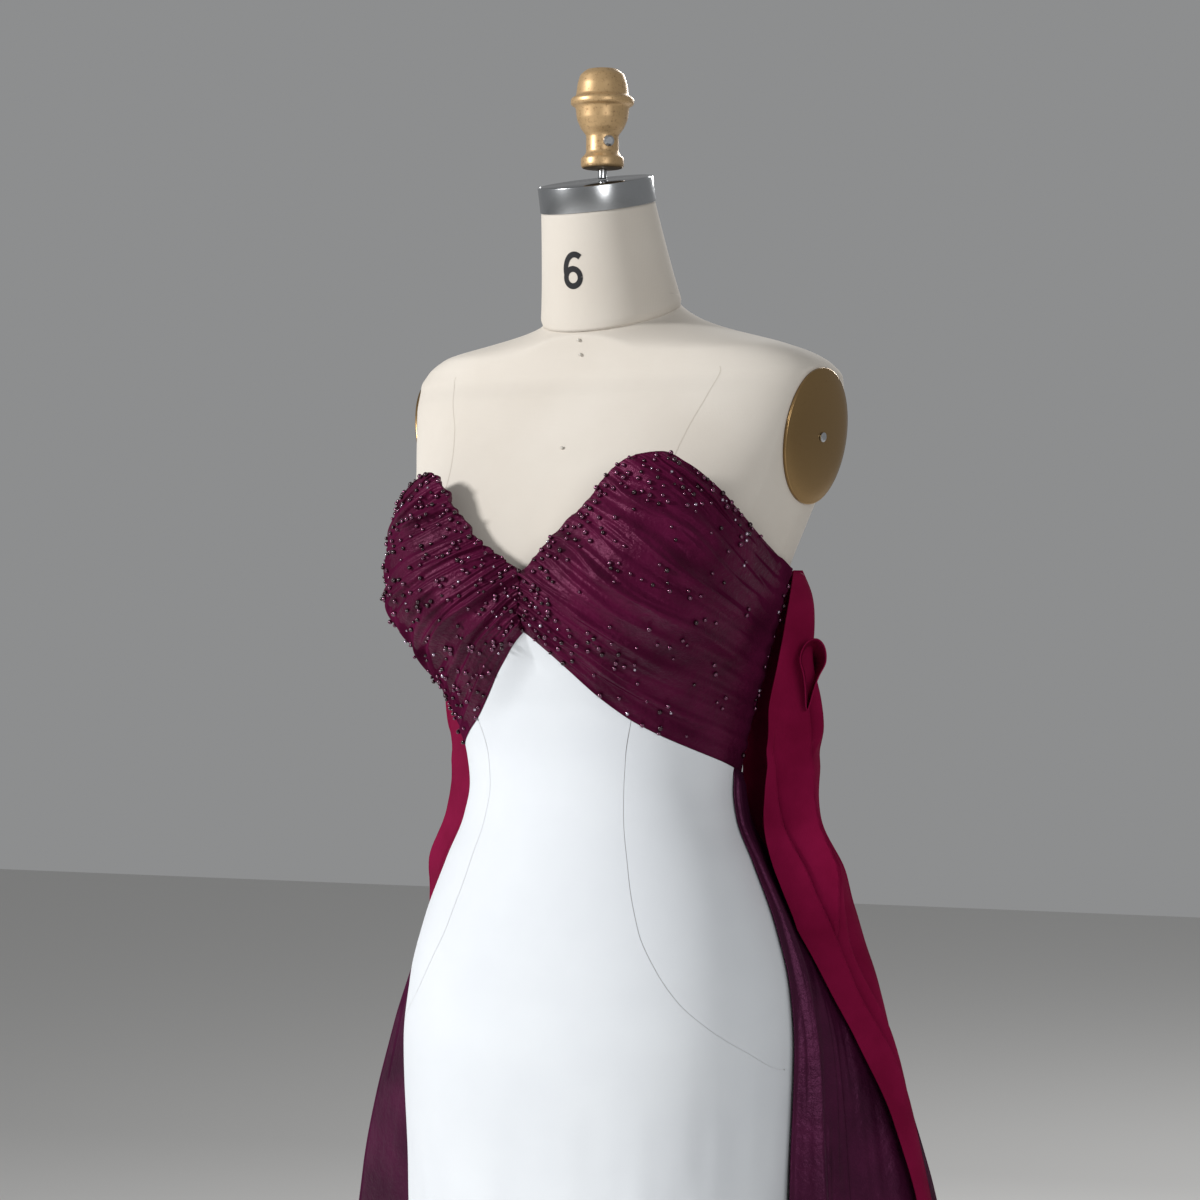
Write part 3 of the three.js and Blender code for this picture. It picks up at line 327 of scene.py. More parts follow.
def faces_out(piece):
    """Turns an open cloth's faces to point away from the form's axis."""
    mesh = piece.data
    normal = np.empty(3 * len(mesh.polygons))
    middle = np.empty(3 * len(mesh.polygons))
    mesh.polygons.foreach_get("normal", normal)
    mesh.polygons.foreach_get("center", middle)
    normal, middle = normal.reshape(-1, 3), middle.reshape(-1, 3)
    away = (middle[:, :2] - (0, NECK_Y * 0.001)) * normal[:, :2]
    if away.sum() < 0:
        mesh.flip_normals()
        mesh.update()


def finish_piece(piece, material, nodes=(), thick=0):
    piece.data.materials.append(material)
    if thick:
        shell = piece.modifiers.new("cloth", "SOLIDIFY")
        shell.thickness = thick * 0.001
        shell.offset = -1
    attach(piece, ROOT)
    if nodes:
        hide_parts(*nodes)
    return piece


def paint_node(name, material):
    """Gives a solid that shows as it is its material."""
    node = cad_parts[name]
    node.data.materials.clear()
    node.data.materials.append(material)


def hem_rolled(points):
    """Adds three rows under the lowest one that roll the cloth in by its thickness."""
    away_from_axis = (points[:1] - (0, NECK_Y, 0)) * (1, 1, 0)
    out = away_from_axis / np.linalg.norm(away_from_axis, axis=-1, keepdims=True)
    rows = [points[:1] - out * HEM_ROLL * away + (0, 0, up)
            for away, up in ((1.0, 12), (1.0, 0.5), (0.5, -0.3))]
    return np.concatenate(rows + [points])


def cloth(name, points, material, nodes, thick):
    """An open cloth with its lengths as UV map, its faces out and its wall's thickness."""
    piece = put_grid(name, points, uv=cloth_uv(points))
    faces_out(piece)
    return finish_piece(piece, material, nodes, thick=thick)


def turned(name, profile, segments=96, centre=(0, 0)):
    """A closed solid of revolution: each profile point of radius and height, all round Z."""
    radius, height = np.asarray(profile, float).T
    turn = np.linspace(0, 2 * np.pi, segments, endpoint=False)
    x = centre[0] + radius[:, None] * np.cos(turn)
    y = centre[1] + radius[:, None] * np.sin(turn)
    points = np.stack([x, y, np.broadcast_to(height[:, None], x.shape)], -1)
    piece = put_grid(name, points, closed=True)
    close_poles(piece)
    return piece


def close_poles(piece):
    """Merges the points of each pole, where the profile meets the axis, and faces all out."""
    bm = bmesh.new()
    bm.from_mesh(piece.data)
    bmesh.ops.remove_doubles(bm, verts=bm.verts, dist=1e-6)
    bmesh.ops.recalc_face_normals(bm, faces=bm.faces)
    bm.to_mesh(piece.data)
    bm.free()


def round_profile(rows, corner=0.8, steps=4):
    """Rounds each corner of a profile: points on a quadratic curve between two points set back
    along its sides, by the corner size or by 0.4 of the side, whichever is less."""
    rows = [np.asarray(row, float) for row in rows]
    out = [rows[0]]
    for before, here, after in zip(rows, rows[1:], rows[2:]):
        left = min(corner, 0.4 * np.linalg.norm(before - here))
        right = min(corner, 0.4 * np.linalg.norm(after - here))
        a = here + left * (before - here) / np.linalg.norm(before - here)
        b = here + right * (after - here) / np.linalg.norm(after - here)
        t = np.linspace(0, 1, steps)[:, None]
        out.extend((1 - t) ** 2 * a + 2 * t * (1 - t) * here + t ** 2 * b)
    out.append(rows[-1])
    return np.array(out)


# Materials.

def add_node(tree, kind, inputs=None, **settings):
    """Adds a shader node, sets its properties, and sets or links its inputs."""
    node = tree.nodes.new(kind)
    for name, value in settings.items():
        setattr(node, name, value)
    for name, value in (inputs or {}).items():
        socket = node.inputs[name]
        if isinstance(value, bpy.types.NodeSocket):
            tree.links.new(value, socket)
        else:
            socket.default_value = value
    return node


def new_material(name):
    material = bpy.data.materials.new(name)
    material.use_nodes = True
    material.node_tree.nodes.clear()
    return material, material.node_tree


def shader(tree, **inputs):
    """The surface: one Principled BSDF and the output."""
    named = {key.replace("_", " "): value for key, value in inputs.items()}
    surface = add_node(tree, "ShaderNodeBsdfPrincipled", named)
    add_node(tree, "ShaderNodeOutputMaterial", {"Surface": surface.outputs["BSDF"]})
    return surface


def colour_ramp(tree, factor, low, high, start=0.0, end=1.0):
    ramp = add_node(tree, "ShaderNodeValToRGB", {"Fac": factor})
    ramp.color_ramp.elements[0].position = start
    ramp.color_ramp.elements[0].color = (*low, 1)
    ramp.color_ramp.elements[1].position = end
    ramp.color_ramp.elements[1].color = (*high, 1)
    return ramp.outputs["Color"]


def noise(tree, scale, detail=2.0, roughness=0.5, place=None):
    """Noise on the piece's own object coordinates, or on the place given."""
    if place is None:
        place = add_node(tree, "ShaderNodeTexCoord").outputs["Object"]
    return add_node(tree, "ShaderNodeTexNoise", {
        "Vector": place, "Scale": scale, "Detail": detail, "Roughness": roughness}).outputs["Fac"]


def relief(tree, height, strength, distance_mm, **inputs):
    return add_node(tree, "ShaderNodeBump", {
        "Height": height, "Strength": strength, "Distance": distance_mm * 0.001,
        **inputs}).outputs["Normal"]


def thread_bump(tree, pitch_mm, strength, distance_mm, source="UV"):
    """Two crossed sets of threads from wave bands, pitch_mm apart. A wave texture's bands are
    a twentieth of a turn long at scale 1."""
    place = add_node(tree, "ShaderNodeTexCoord").outputs[source]
    heights = [add_node(
        tree, "ShaderNodeTexWave",
        {"Vector": place, "Scale": 2 * math.pi / 20 * 1000 / pitch_mm,
         "Distortion": 0.4, "Detail": 1.0},
        wave_type="BANDS", bands_direction=direction).outputs["Fac"]
        for direction in (("X", "Y") if source == "UV" else ("X", "Z"))]
    woven = add_node(tree, "ShaderNodeMath", {0: heights[0], 1: heights[1]}, operation="MAXIMUM")
    return relief(tree, woven.outputs["Value"], strength, distance_mm)


def lustrous_cloth(name, dark, light, glint, roughness, sheen, crinkle_mm, crinkle, gloss):
    """Woven silk-like cloth: its colour drifts a little between threads, its gloss is tinted by
    the thread and scattered by loose threads where the cloth turns away, where its colour is
    also mixed a tenth of the way to the glint colour as a painted sheen, and fine creases lie
    over the modelled folds."""
    material, tree = new_material(name)
    base = colour_ramp(tree, noise(tree, 22.0, 4.0), linear(dark), linear(light), 0.35, 0.7)
    tint = (*linear(glint), 1)
    edge = add_node(tree, "ShaderNodeLayerWeight", {"Blend": 0.2}).outputs["Facing"]
    # Painted sheen: the base colour is mixed a tenth of the way to the glint colour where the cloth
    # turns away from the view.
    painted_sheen_share = add_node(tree, "ShaderNodeMath", {0: edge, 1: 0.10}, operation="MULTIPLY")
    painted_sheen = add_node(tree, "ShaderNodeMix", {"Factor": painted_sheen_share.outputs["Value"], 6: base, 7: tint},
                     data_type="RGBA")
    loose = add_node(tree, "ShaderNodeMapRange", {
        "Value": edge, "From Min": 0.06, "From Max": 0.32, "To Min": gloss, "To Max": 0.0})
    creases = noise(tree, 1000 / crinkle_mm, 4.0, 0.6)
    rough = relief(tree, creases, crinkle, 2.0, Normal=thread_bump(tree, 0.9, 0.25, 0.12))
    shader(tree, Base_Color=painted_sheen.outputs[2], Roughness=roughness, Sheen_Weight=sheen,
           Sheen_Roughness=0.4, Sheen_Tint=tint, Specular_Tint=tint,
           Specular_IOR_Level=loose.outputs["Result"], Normal=rough)
    return material


def matt_cloth(name, dark, light, roughness, sheen, pitch_mm, relief_mm, source="UV"):
    """Matt woven cloth: near-even colour with thread relief and a soft bloom."""
    material, tree = new_material(name)
    base = colour_ramp(tree, noise(tree, 9.0, 5.0), linear(dark), linear(light), 0.3, 0.7)
    shader(tree, Base_Color=base, Roughness=roughness, Sheen_Weight=sheen,
           Sheen_Roughness=0.5, Specular_IOR_Level=0.3,
           Normal=thread_bump(tree, pitch_mm, 0.35, relief_mm, source))
    return material


def brushed_metal(name, colour, roughness, grain_mm, stretch=(1, 1, 1), depth=0.1):
    """Metal with fine lines along one direction: noise stretched by the brushing."""
    material, tree = new_material(name)
    place = add_node(tree, "ShaderNodeTexCoord").outputs["Object"]
    drawn = add_node(tree, "ShaderNodeMapping", {"Vector": place, "Scale": stretch})
    lines = noise(tree, 1000 / grain_mm, 3.0, place=drawn.outputs["Vector"])
    rough = add_node(tree, "ShaderNodeMapRange", {
        "Value": lines, "To Min": roughness * 0.75, "To Max": roughness * 1.3})
    shader(tree, Base_Color=(*linear(colour), 1), Metallic=1.0,
           Roughness=rough.outputs["Result"], Normal=relief(tree, lines, depth, 0.2))
    return material


def gilt_wood(name, dark, light):
    """Turned wood under rubbed gold paint: half-metallic, with brown specks where it is worn."""
    material, tree = new_material(name)
    wear = noise(tree, 420.0, 6.0, 0.7)
    base = colour_ramp(tree, wear, linear(dark), linear(light), 0.30, 0.46)
    shader(tree, Base_Color=base, Metallic=0.55, Roughness=0.42, Coat_Weight=0.15,
           Coat_Roughness=0.3, Normal=relief(tree, wear, 0.15, 0.2))
    return material


def bead_material(name, colour, metallic, roughness):
    """Glass pearl or faceted bead: one colour under a clear coat."""
    material, tree = new_material(name)
    shader(tree, Base_Color=(*linear(colour), 1), Metallic=metallic, Roughness=roughness,
           Coat_Weight=0.8, Coat_Roughness=0.05)
    return material


def enamel(name, colour, roughness):
    """Stove-baked paint on cast iron: even colour, a fine orange-peel relief."""
    material, tree = new_material(name)
    shader(tree, Base_Color=(*linear(colour), 1), Roughness=roughness,
           Normal=relief(tree, noise(tree, 500.0), 0.15, 0.3))
    return material


# Each material's maker and its values, in the order of the maker's own.
MATERIALS = {
    "linen_cover": (matt_cloth, "#d3cbc0", "#dbd4ca", 0.9, 0.04, 1.1, 0.12, "Object"),
    "linen_seam": (matt_cloth, "#c6bdb1", "#cec6ba", 0.9, 0.1, 0.8, 0.1),
    "grey_ink": (matt_cloth, "#1f1f22", "#28282b", 0.7, 0.0, 0.8, 0.02),
    "white_crepe": (matt_cloth, "#dde1e6", "#e4e8ec", 0.82, 0.04, 0.9, 0.08),
    "zip_tape": (matt_cloth, "#3c1027", "#48162f", 0.8, 0.1, 0.8, 0.1),
    "plum_satin": (lustrous_cloth, "#370820", "#521132", "#a84a78", 0.32, 0.0, 6, 0.6, 0.42),
    "plum_taffeta": (lustrous_cloth, "#2c091e", "#42112e", "#b86a9a", 0.34, 0.03, 12, 0.6, 0.9),
    "crimson_crepe": (lustrous_cloth, "#6f0c30", "#82123c", "#b03c68", 0.55, 0.05, 20, 0.1, 0.3),
    "zinc_plate": (brushed_metal, "#c3c6ca", 0.32, 1.5),
    "brushed_steel": (brushed_metal, "#b6b8ba", 0.24, 2.0, (1, 1, 24)),
    "polished_steel": (brushed_metal, "#4c4f54", 0.12, 1.0, (1, 1, 1), 0.02),
    "antique_gold": (brushed_metal, "#a2845a", 0.3, 1.2, (1, 1, 1), 0.06),
    "gilt_wood": (gilt_wood, "#94704a", "#cdab7c"),
    "black_enamel": (enamel, "#232325", 0.45),
    "pin_glass": (bead_material, "#cfcac0", 0.0, 0.2),
    "plum_pearl": (bead_material, "#6b3854", 0.85, 0.12),
    "garnet_glass": (bead_material, "#300c1c", 0.6, 0.06),
    "clear_crystal": (bead_material, "#b9a9bb", 0.8, 0.04),
    "zip_nylon": (bead_material, "#3a1027", 0.0, 0.35),
}


def get_material(name):
    """The named material, made from its row the first time that a piece asks for it."""
    maker, *values = MATERIALS[name]
    return bpy.data.materials.get(name) or maker(name, *values)


# Sizes and colours that a user would change.

class DressSizes(bpy.types.PropertyGroup):
    gather_height: bpy.props.FloatProperty(
        name="Gather height", description="Height of the bodice's gathers",
        default=GATHER_HEIGHT, unit="LENGTH")
    bead_radius: bpy.props.FloatProperty(
        name="Bead radius", description="Radius of the larger beads",
        default=0.0021, unit="LENGTH")
    cloth_thickness: bpy.props.FloatProperty(
        name="Cloth thickness", description="Thickness of the cloth's shells",
        default=0.0012, unit="LENGTH")
    floor_size: bpy.props.FloatProperty(
        name="Floor size", description="Length of the floor's side",
        default=24.0, unit="LENGTH")


class DressColours(bpy.types.PropertyGroup):
    floor: bpy.props.FloatVectorProperty(
        name="Floor", description="Colour of the plain floor", subtype="COLOR",
        default=linear("#d9d8d6"))


def sizes():
    return bpy.context.scene.dress_sizes


def colours():
    return bpy.context.scene.dress_colours


# Form.

def arm_plane(side):
    """The flat that carries an arm plate: its middle, its outward normal, and its own axes."""
    toe, lean = math.radians(8), math.radians(9)
    up = np.array([math.sin(lean) * math.cos(toe), -math.sin(lean) * math.sin(toe),
                   math.cos(lean)])
    out = np.array([math.cos(lean) * math.cos(toe), -math.cos(lean) * math.sin(toe),
                    -math.sin(lean)])
    along = np.cross(up, out)
    mirror = np.array([side, 1, 1])
    return np.array([180, 37, 1347]) * mirror, out * mirror, up * mirror, along * mirror


def form_points(angle, z, out=0.0):
    """The body's section with its chest, drawn in to the neck above the neck's seam, and
    pressed flat where it would pass an arm's plane."""
    points = around(angle, z, chest_out(angle, z) + out)
    turn = np.arctan2(points[..., 0], NECK_Y - points[..., 1])
    far = np.hypot(points[..., 0], points[..., 1] - NECK_Y)
    seam = NECK_Z[0] - 60 * np.cos(turn) * math.tan(math.radians(NECK_TILT[0]))
    near = np.minimum(far, 57 + np.maximum(0, seam - points[..., 2]))
    share = mix(far, near, ease(seam - 30, seam - 2, points[..., 2])) / np.maximum(far, 1)
    points[..., 0] *= share
    points[..., 1] = NECK_Y + (points[..., 1] - NECK_Y) * share
    for side in (1, -1):
        middle, normal, _, _ = arm_plane(side)
        past = np.maximum(0, (points - middle) @ normal - out)
        near = ease(1240, 1262, points[..., 2])
        points = points - (past * near)[..., None] * normal
    return points


def neck_points(angle, share):
    """Tilted ellipses whose size, place and tilt run from the neck's root to its top, with a
    lowest part drawn in by 3 mm so that its rim is inside the shoulders."""
    wide = share ** 0.8
    flare = -3 * np.maximum(0, 1 - share / 0.06)
    tilt = np.tan(np.radians(mix(*NECK_TILT, share)))
    x = (mix(60, 47, wide) + flare) * np.sin(np.radians(angle))
    y = -(mix(60, 48, wide) + 0.4 * flare) * np.cos(np.radians(angle))
    z = mix(*NECK_Z, share) + y * tilt
    return np.stack([x, y + mix(NECK_Y, -3, share), z], -1)


class DRESS_OT_form(bpy.types.Operator):
    """Builds the linen-covered torso and neck with their seams, pins and size number"""
    bl_idname = "dress.form"
    bl_label = "Form"

    def execute(self, context):
        angle = np.linspace(-180, 180, 192, endpoint=False)
        height = np.concatenate([
            np.linspace(740, 1380, 150, endpoint=False), np.linspace(1380, 1468, 60)])
        skin = form_points(angle[None, :], height[:, None])
        rings = [mix(np.array([[[0, 0, 740]]]), skin[:1], share) for share in (0.0, 0.5, 0.97)]
        top = [mix(skin[-1:], np.array([[[0, 22, 1468]]]), share) for share in (0.5, 1.0)]
        torso = put_grid("form_linen_torso", np.concatenate(rings + [skin] + top), closed=True)
        close_poles(torso)
        finish_piece(torso, get_material("linen_cover"), ["form_torso"])
        ring = neck_points(angle[None, :], np.linspace(0, 1, 40)[:, None])
        foot, lid = [np.broadcast_to(end.mean(1, keepdims=True), end.shape)
                     for end in (ring[:1], ring[-1:])]
        neck = put_grid("form_linen_neck", np.concatenate([foot, ring, lid]), closed=True)
        close_poles(neck)
        finish_piece(neck, get_material("linen_cover"))
        self.seams()
        self.pins()
        self.number()
        return {"FINISHED"}

    def seams(self):
        """Narrow ribbons that lie on the form along its sewn seams, a third of a degree wide."""
        t = np.linspace(0, 1, 80)[:, None]
        across = np.array([-0.16, 0.0, 0.16])
        for side, word in SIDES:
            z = mix(1240, 1402, t)
            middle = 32 + 6 * ease(1335, 1420, z) - 1.5 * np.sin(np.pi * t)
            points = form_points(middle + across, z, 0.12)
            points[..., 0] *= side
            seam = put_grid(f"form_seam_{word}", points)
            faces_out(seam)
            finish_piece(seam, get_material("linen_seam"))

    def pins(self):
        """Glass-headed pins on the centre front: small spheres."""
        at = form_points(0.6, np.array([1427.0, 1415.0, 1337.0]), 1.2)
        shape, quads = bead_shape()
        pins = put_copies("form_pins", at[:, None] + 1.5 * shape, quads)
        finish_piece(pins, get_material("pin_glass"))

    def number(self):
        """A plain size number printed on the neck: a flat stroke, 4.6 mm wide, along a bowl and
        a stem, laid 0.3 mm off the neck."""
        turn = np.linspace(0, 2 * np.pi, 49)
        bowl = np.stack([6.6 * np.cos(turn), -5.6 + 6.6 * np.sin(turn)], -1)
        stem_turn = np.linspace(math.radians(52), math.radians(205), 40)
        stem = np.stack([2.2 + 8.8 * np.cos(stem_turn), 0.4 + 11.6 * np.sin(stem_turn)], -1)
        for name, line, lift in (("bowl", bowl, 0.25), ("stem", stem, 0.32)):
            tangent = np.gradient(line, axis=0)
            tangent /= np.linalg.norm(tangent, axis=1, keepdims=True)
            side = np.stack([-tangent[:, 1], tangent[:, 0]], -1)
            width = np.array([-2.3, -0.8, 0.8, 2.3])
            flat = line[:, None, :] + side[:, None, :] * width[:, None]
            share = 0.52 + flat[..., 1] / 90
            angle = np.degrees(flat[..., 0] / 53)
            points = neck_points(angle, share)
            out = np.stack([np.sin(np.radians(angle)), -np.cos(np.radians(angle)),
                            0.15 * np.ones_like(angle)], -1)
            piece = put_grid(f"size_number_{name}", points + lift * out)
            faces_out(piece)
            finish_piece(piece, get_material("grey_ink"))


# Fittings.

class DRESS_OT_fittings(bpy.types.Operator):
    """Builds the steel neck cap, wooden finial, arm plates, screws, pole and base"""
    bl_idname = "dress.fittings"
    bl_label = "Fittings"

    def execute(self, context):
        self.cap()
        self.finial()
        self.arm_plates()
        self.stand()
        return {"FINISHED"}

    def cap(self):
        """A brushed band and a polished plate: turned discs, tilted with the neck."""
        band = round_profile([(0, 0.3), (47.9, 0.3), (47.9, 21.3), (46.3, 21.3), (46.3, 19.9),
                              (0, 19.9)], 0.5)
        plate = round_profile([(0, 20.2), (45.9, 20.2), (45.9, 21.4), (0, 21.4)], 0.4)
        tilt = math.radians(NECK_TILT[1])
        for word, profile, metal, slot in (
                ("band", band, "brushed_steel", "steel"),
                ("plate", plate, "polished_steel", "polished")):
            piece = turned(f"neck_{word}", profile)
            co = np.empty(3 * len(piece.data.vertices))
            piece.data.vertices.foreach_get("co", co)
            co = co.reshape(-1, 3) * np.array([1, 1.035, 1])
            y = co[:, 1] * math.cos(tilt) - co[:, 2] * math.sin(tilt) - 0.003
            z = co[:, 1] * math.sin(tilt) + co[:, 2] * math.cos(tilt) + 1.540
            piece.data.vertices.foreach_set("co", np.stack([co[:, 0], y, z], -1).ravel())
            piece.data.update()
            finish_piece(piece, get_material(metal), [f"neck_cap_{word}"])

    def finial(self):
        """A turned knob on a short stud: two solids of revolution on one axis."""
        profile = round_profile([
            (0, 1573), (16.6, 1573), (17.9, 1575), (17.9, 1581.5), (15.4, 1583.5),
            (13.5, 1586.5), (13.5, 1600.5), (18, 1606.5), (21.2, 1614), (22.4, 1624),
            (26.3, 1626), (26.3, 1631), (22, 1633.5), (20.6, 1644), (18.4, 1651),
            (13, 1655.5), (0, 1656.8)], 1.6)
        finish_piece(turned("turned_finial", profile, centre=(0, 4)),
                     get_material("gilt_wood"), ["finial"])
        rod = round_profile([(0, 1564.7), (3.7, 1564.7), (3.7, 1572.7), (0, 1572.7)], 0.3)
        finish_piece(turned("finial_stud", rod, 48, (0, 4)),
                     get_material("brushed_steel"), ["finial_rod"])

    def arm_plates(self):
        """Domed ovals: the height of half an ellipsoid over a thin rim, with a raised edge."""
        share = np.array([0, 0.15, 0.3, 0.45, 0.6, 0.72, 0.82, 0.9, 0.95, 0.965, 0.985, 1.0, 1.0])
        rise = np.array([8.3, 8.23, 8.0, 7.6, 7.0, 6.3, 5.5, 4.5, 3.6, 3.3, 3.1, 2.6, 0.4])
        turn = np.linspace(0, 2 * np.pi, 96, endpoint=False)
        for side, word in SIDES:
            middle, out, up, along = arm_plane(side)
            x = 43 * share[:, None] * np.cos(turn)
            y = 56 * share[:, None] * np.sin(turn)
            points = (middle + x[..., None] * along + y[..., None] * up
                      + rise[:, None, None] * out)
            under = middle + 0.4 * out + 0 * points[-1:]
            plate = put_grid(f"arm_dome_{word}", np.concatenate([points, under]), closed=True)
            close_poles(plate)
            finish_piece(plate, get_material("antique_gold"), [f"arm_plate_{word}"])
            paint_node(f"arm_plate_screw_{word}", get_material("zinc_plate"))

    def stand(self):
        """A round base with a low boss for the pole: a solid of revolution."""
        base = round_profile([(0, 0), (168, 0), (170, 2), (170, 12), (165, 16), (40, 21),
                              (34, 30), (0, 30)], 2.0)
        finish_piece(turned("round_base", base, 128), get_material("black_enamel"),
                     ["form_base"])
        paint_node("form_pole", get_material("brushed_steel"))
        paint_node("finial_set_screw", get_material("zinc_plate"))


# Bodice.

def cup_places(side, r, q):
    """Angle and height on a cup, r from the inner edge to the side seam and q from the lower
    edge to the neckline: the sum of what each pair of edges gives, less what the corners give."""
    last, foot = BODICE_SIDE - 0.1, lambda angle: underbust(angle) + 0.2
    top = neckline[side]
    lower = np.maximum(0.1, np.minimum(last, np.interp(
        r * (len(CUP_ANGLES) - 1), np.arange(len(CUP_ANGLES)), CUP_ANGLES)))
    upper = mix(PEAK[side], last, r)
    up = np.clip(q / GATHER_CENTRE, 0, 1)
    out = np.clip((q - GATHER_CENTRE) / (1 - GATHER_CENTRE), 0, 1)
    inner = mix(0.1, PEAK[side], out)
    inner_z = np.where(q < GATHER_CENTRE, mix(foot(0.1), top(0.1), up), top(inner))
    pairs = (
        (lower, upper, inner, last, 0.1, last, PEAK[side], last),
        (foot(lower), top(upper), inner_z, mix(foot(last), top(last), q),
         foot(0.1), foot(last), top(PEAK[side]), top(last)))
    return [mix(low, high, q) + mix(left, right, r)
            - mix(mix(low_in, low_out, r), mix(high_in, high_out, r), q)
            for low, high, left, right, low_in, low_out, high_in, high_out in pairs]


def gather_height(side, r, q, angle):
    """Twelve raised cosines across the cup, and between them ninety small creases along the
    gathers. Each crease is a bell with one steep flank, narrow at the inner edge and wider
    outwards, that starts and ends at its own place and wanders a little on its way."""
    rng = np.random.default_rng(40 if side > 0 else 60)
    drift = 0.016 * smooth_noise(41, r * 3, q * 4, 1) * ease(0, 0.12, r)
    at = (q + drift) * len(GATHERS)
    index = np.clip(np.floor(at).astype(int), 0, len(GATHERS) - 1)
    main = np.asarray(GATHERS)[index] * (1 - np.cos(2 * np.pi * at)) / 2
    main = main * (1 - 0.3 * ease(60, BODICE_SIDE, angle))
    creases = 0
    for number in range(90):
        short = number % 3 > 0
        start = rng.choice([-0.1, -0.1, -0.1, 0.02, 0.1, 0.22, 0.4]) if short else -0.1
        end = start + (rng.uniform(0.15, 0.4) if short else rng.uniform(0.6, 1.15))
        place = rng.uniform(0.01, 0.99)
        lean = rng.uniform(-0.06, 0.06) * r + 0.008 * np.sin(r * rng.uniform(8, 16) + number)
        wide = rng.uniform(0.006, 0.012) * (1 + 2.2 * np.clip(r, 0, 1))
        gap = (q + drift - place - lean) / wide
        bell = np.where(gap < 0, np.exp(-(gap / 0.6) ** 2), np.exp(-(gap / 1.5) ** 2))
        window = ease(start - 0.02, start + 0.05, r) * (1 - ease(end - 0.18, end, r))
        height = rng.uniform(0.6, 1.7) * (1.0 if short else 1.25)
        creases = creases + height * bell * window * np.exp(-(r / 1.15) ** 2)
    edge = ease(0, 0.02, q) * ease(1, 0.985, q)
    soft = 1.2 * smooth_noise(49, r * 3, q * 9, 1) * ease(0, 0.2, r)
    scale = sizes().gather_height / GATHER_HEIGHT
    return (1.1 * main + (1.2 * creases + soft) * edge) * scale


def cup_points(side, r, q):
    """The cup's outer face, its inner edge and its neckline rolled in by 2 mm."""
    over = np.maximum(np.maximum(-r, q - 1), 0) * 100
    r, q = np.clip(r, 0, 1), np.clip(q, 0, 1)
    angle, z = cup_places(side, r, q)
    out = bodice_out(angle, z, side) + gather_height(side, r, q, angle)
    points = around(angle, z - 4 * np.maximum(over - 1, 0), out - 2.0 * np.minimum(over, 1.4))
    points[..., 0] *= side
    return points, angle, z


class DRESS_OT_bodice(bpy.types.Operator):
    """Builds the gathered bodice fronts and the plain backs"""
    bl_idname = "dress.bodice"
    bl_label = "Bodice"

    def execute(self, context):
        thick = sizes().cloth_thickness * 1000
        r = np.concatenate([[-0.02, -0.01, -0.004], np.linspace(0, 1, 200) ** 1.25])[None, :]
        q = np.concatenate([np.linspace(0, 1, 400), [1.004, 1.01, 1.02]])[:, None]
        back_angle = np.linspace(BODICE_SIDE + 0.1, 180, 60)[None, :]
        back_t = np.linspace(0, 1, 40)[:, None]
        for side, word in SIDES:
            points, _, _ = cup_points(side, *np.broadcast_arrays(r, q))
            satin = get_material("plum_satin")
            front = cloth(f"bodice_gathered_{word}", points, satin,
                          [f"bodice_front_{word}"], 0)
            back_z = mix(underbust(back_angle) + 0.2, neckline[side](back_angle), back_t)
            back = around(back_angle, back_z, bodice_out(back_angle, back_z, side))
            back[..., 0] = np.maximum(back[..., 0], ZIP_HALF) * side
            panel = cloth(f"bodice_plain_back_{word}", back, satin,
                          [f"bodice_back_{word}"], thick)
        return {"FINISHED"}


def bead_shape(rows=5, across=8):
    """A unit sphere of rows by across quads, its poles closed by narrow quads."""
    polar = np.linspace(0.08, np.pi - 0.08, rows)
    turn = np.linspace(0, 2 * np.pi, across, endpoint=False)
    points = np.stack([
        np.sin(polar)[:, None] * np.cos(turn), np.sin(polar)[:, None] * np.sin(turn),
        np.broadcast_to(np.cos(polar)[:, None], (rows, across))], -1)
    index = np.arange(rows * across).reshape(rows, across)
    index = np.hstack([index, index[:, :1]])
    quads = np.stack([index[:-1, :-1], index[1:, :-1], index[1:, 1:], index[:-1, 1:]], -1)
    lids = [[*index[0, :-1]], [*index[-1, :-1][::-1]]]
    lid_quads = [[ring[0], ring[k], ring[k + 1], ring[k + 2]] for ring in lids
                 for k in range(1, across - 2, 2)]
    return points.reshape(-1, 3), np.concatenate([quads.reshape(-1, 4), np.array(lid_quads)])


def put_copies(name, points, quads):
    """One mesh of many copies of a shape, from each copy's points in millimetres."""
    faces = quads[None] + points.shape[1] * np.arange(len(points))[:, None, None]
    return put_mesh(name, points.reshape(-1, 3) * 0.001, faces.reshape(-1, 4))


def near_line(angle, z, line):
    """Distance in millimetres of each place from a line of angles and heights."""
    nodes = np.asarray(line, float) * (2.4, 1)
    start, step = nodes[:-1], np.diff(nodes, axis=0)
    at = np.stack([angle * 2.4, z], -1)[:, None]
    share = np.clip(((at - start) * step).sum(-1) / (step ** 2).sum(-1), 0, 1)
    return np.linalg.norm(at - start - share[..., None] * step, axis=-1).min(1)


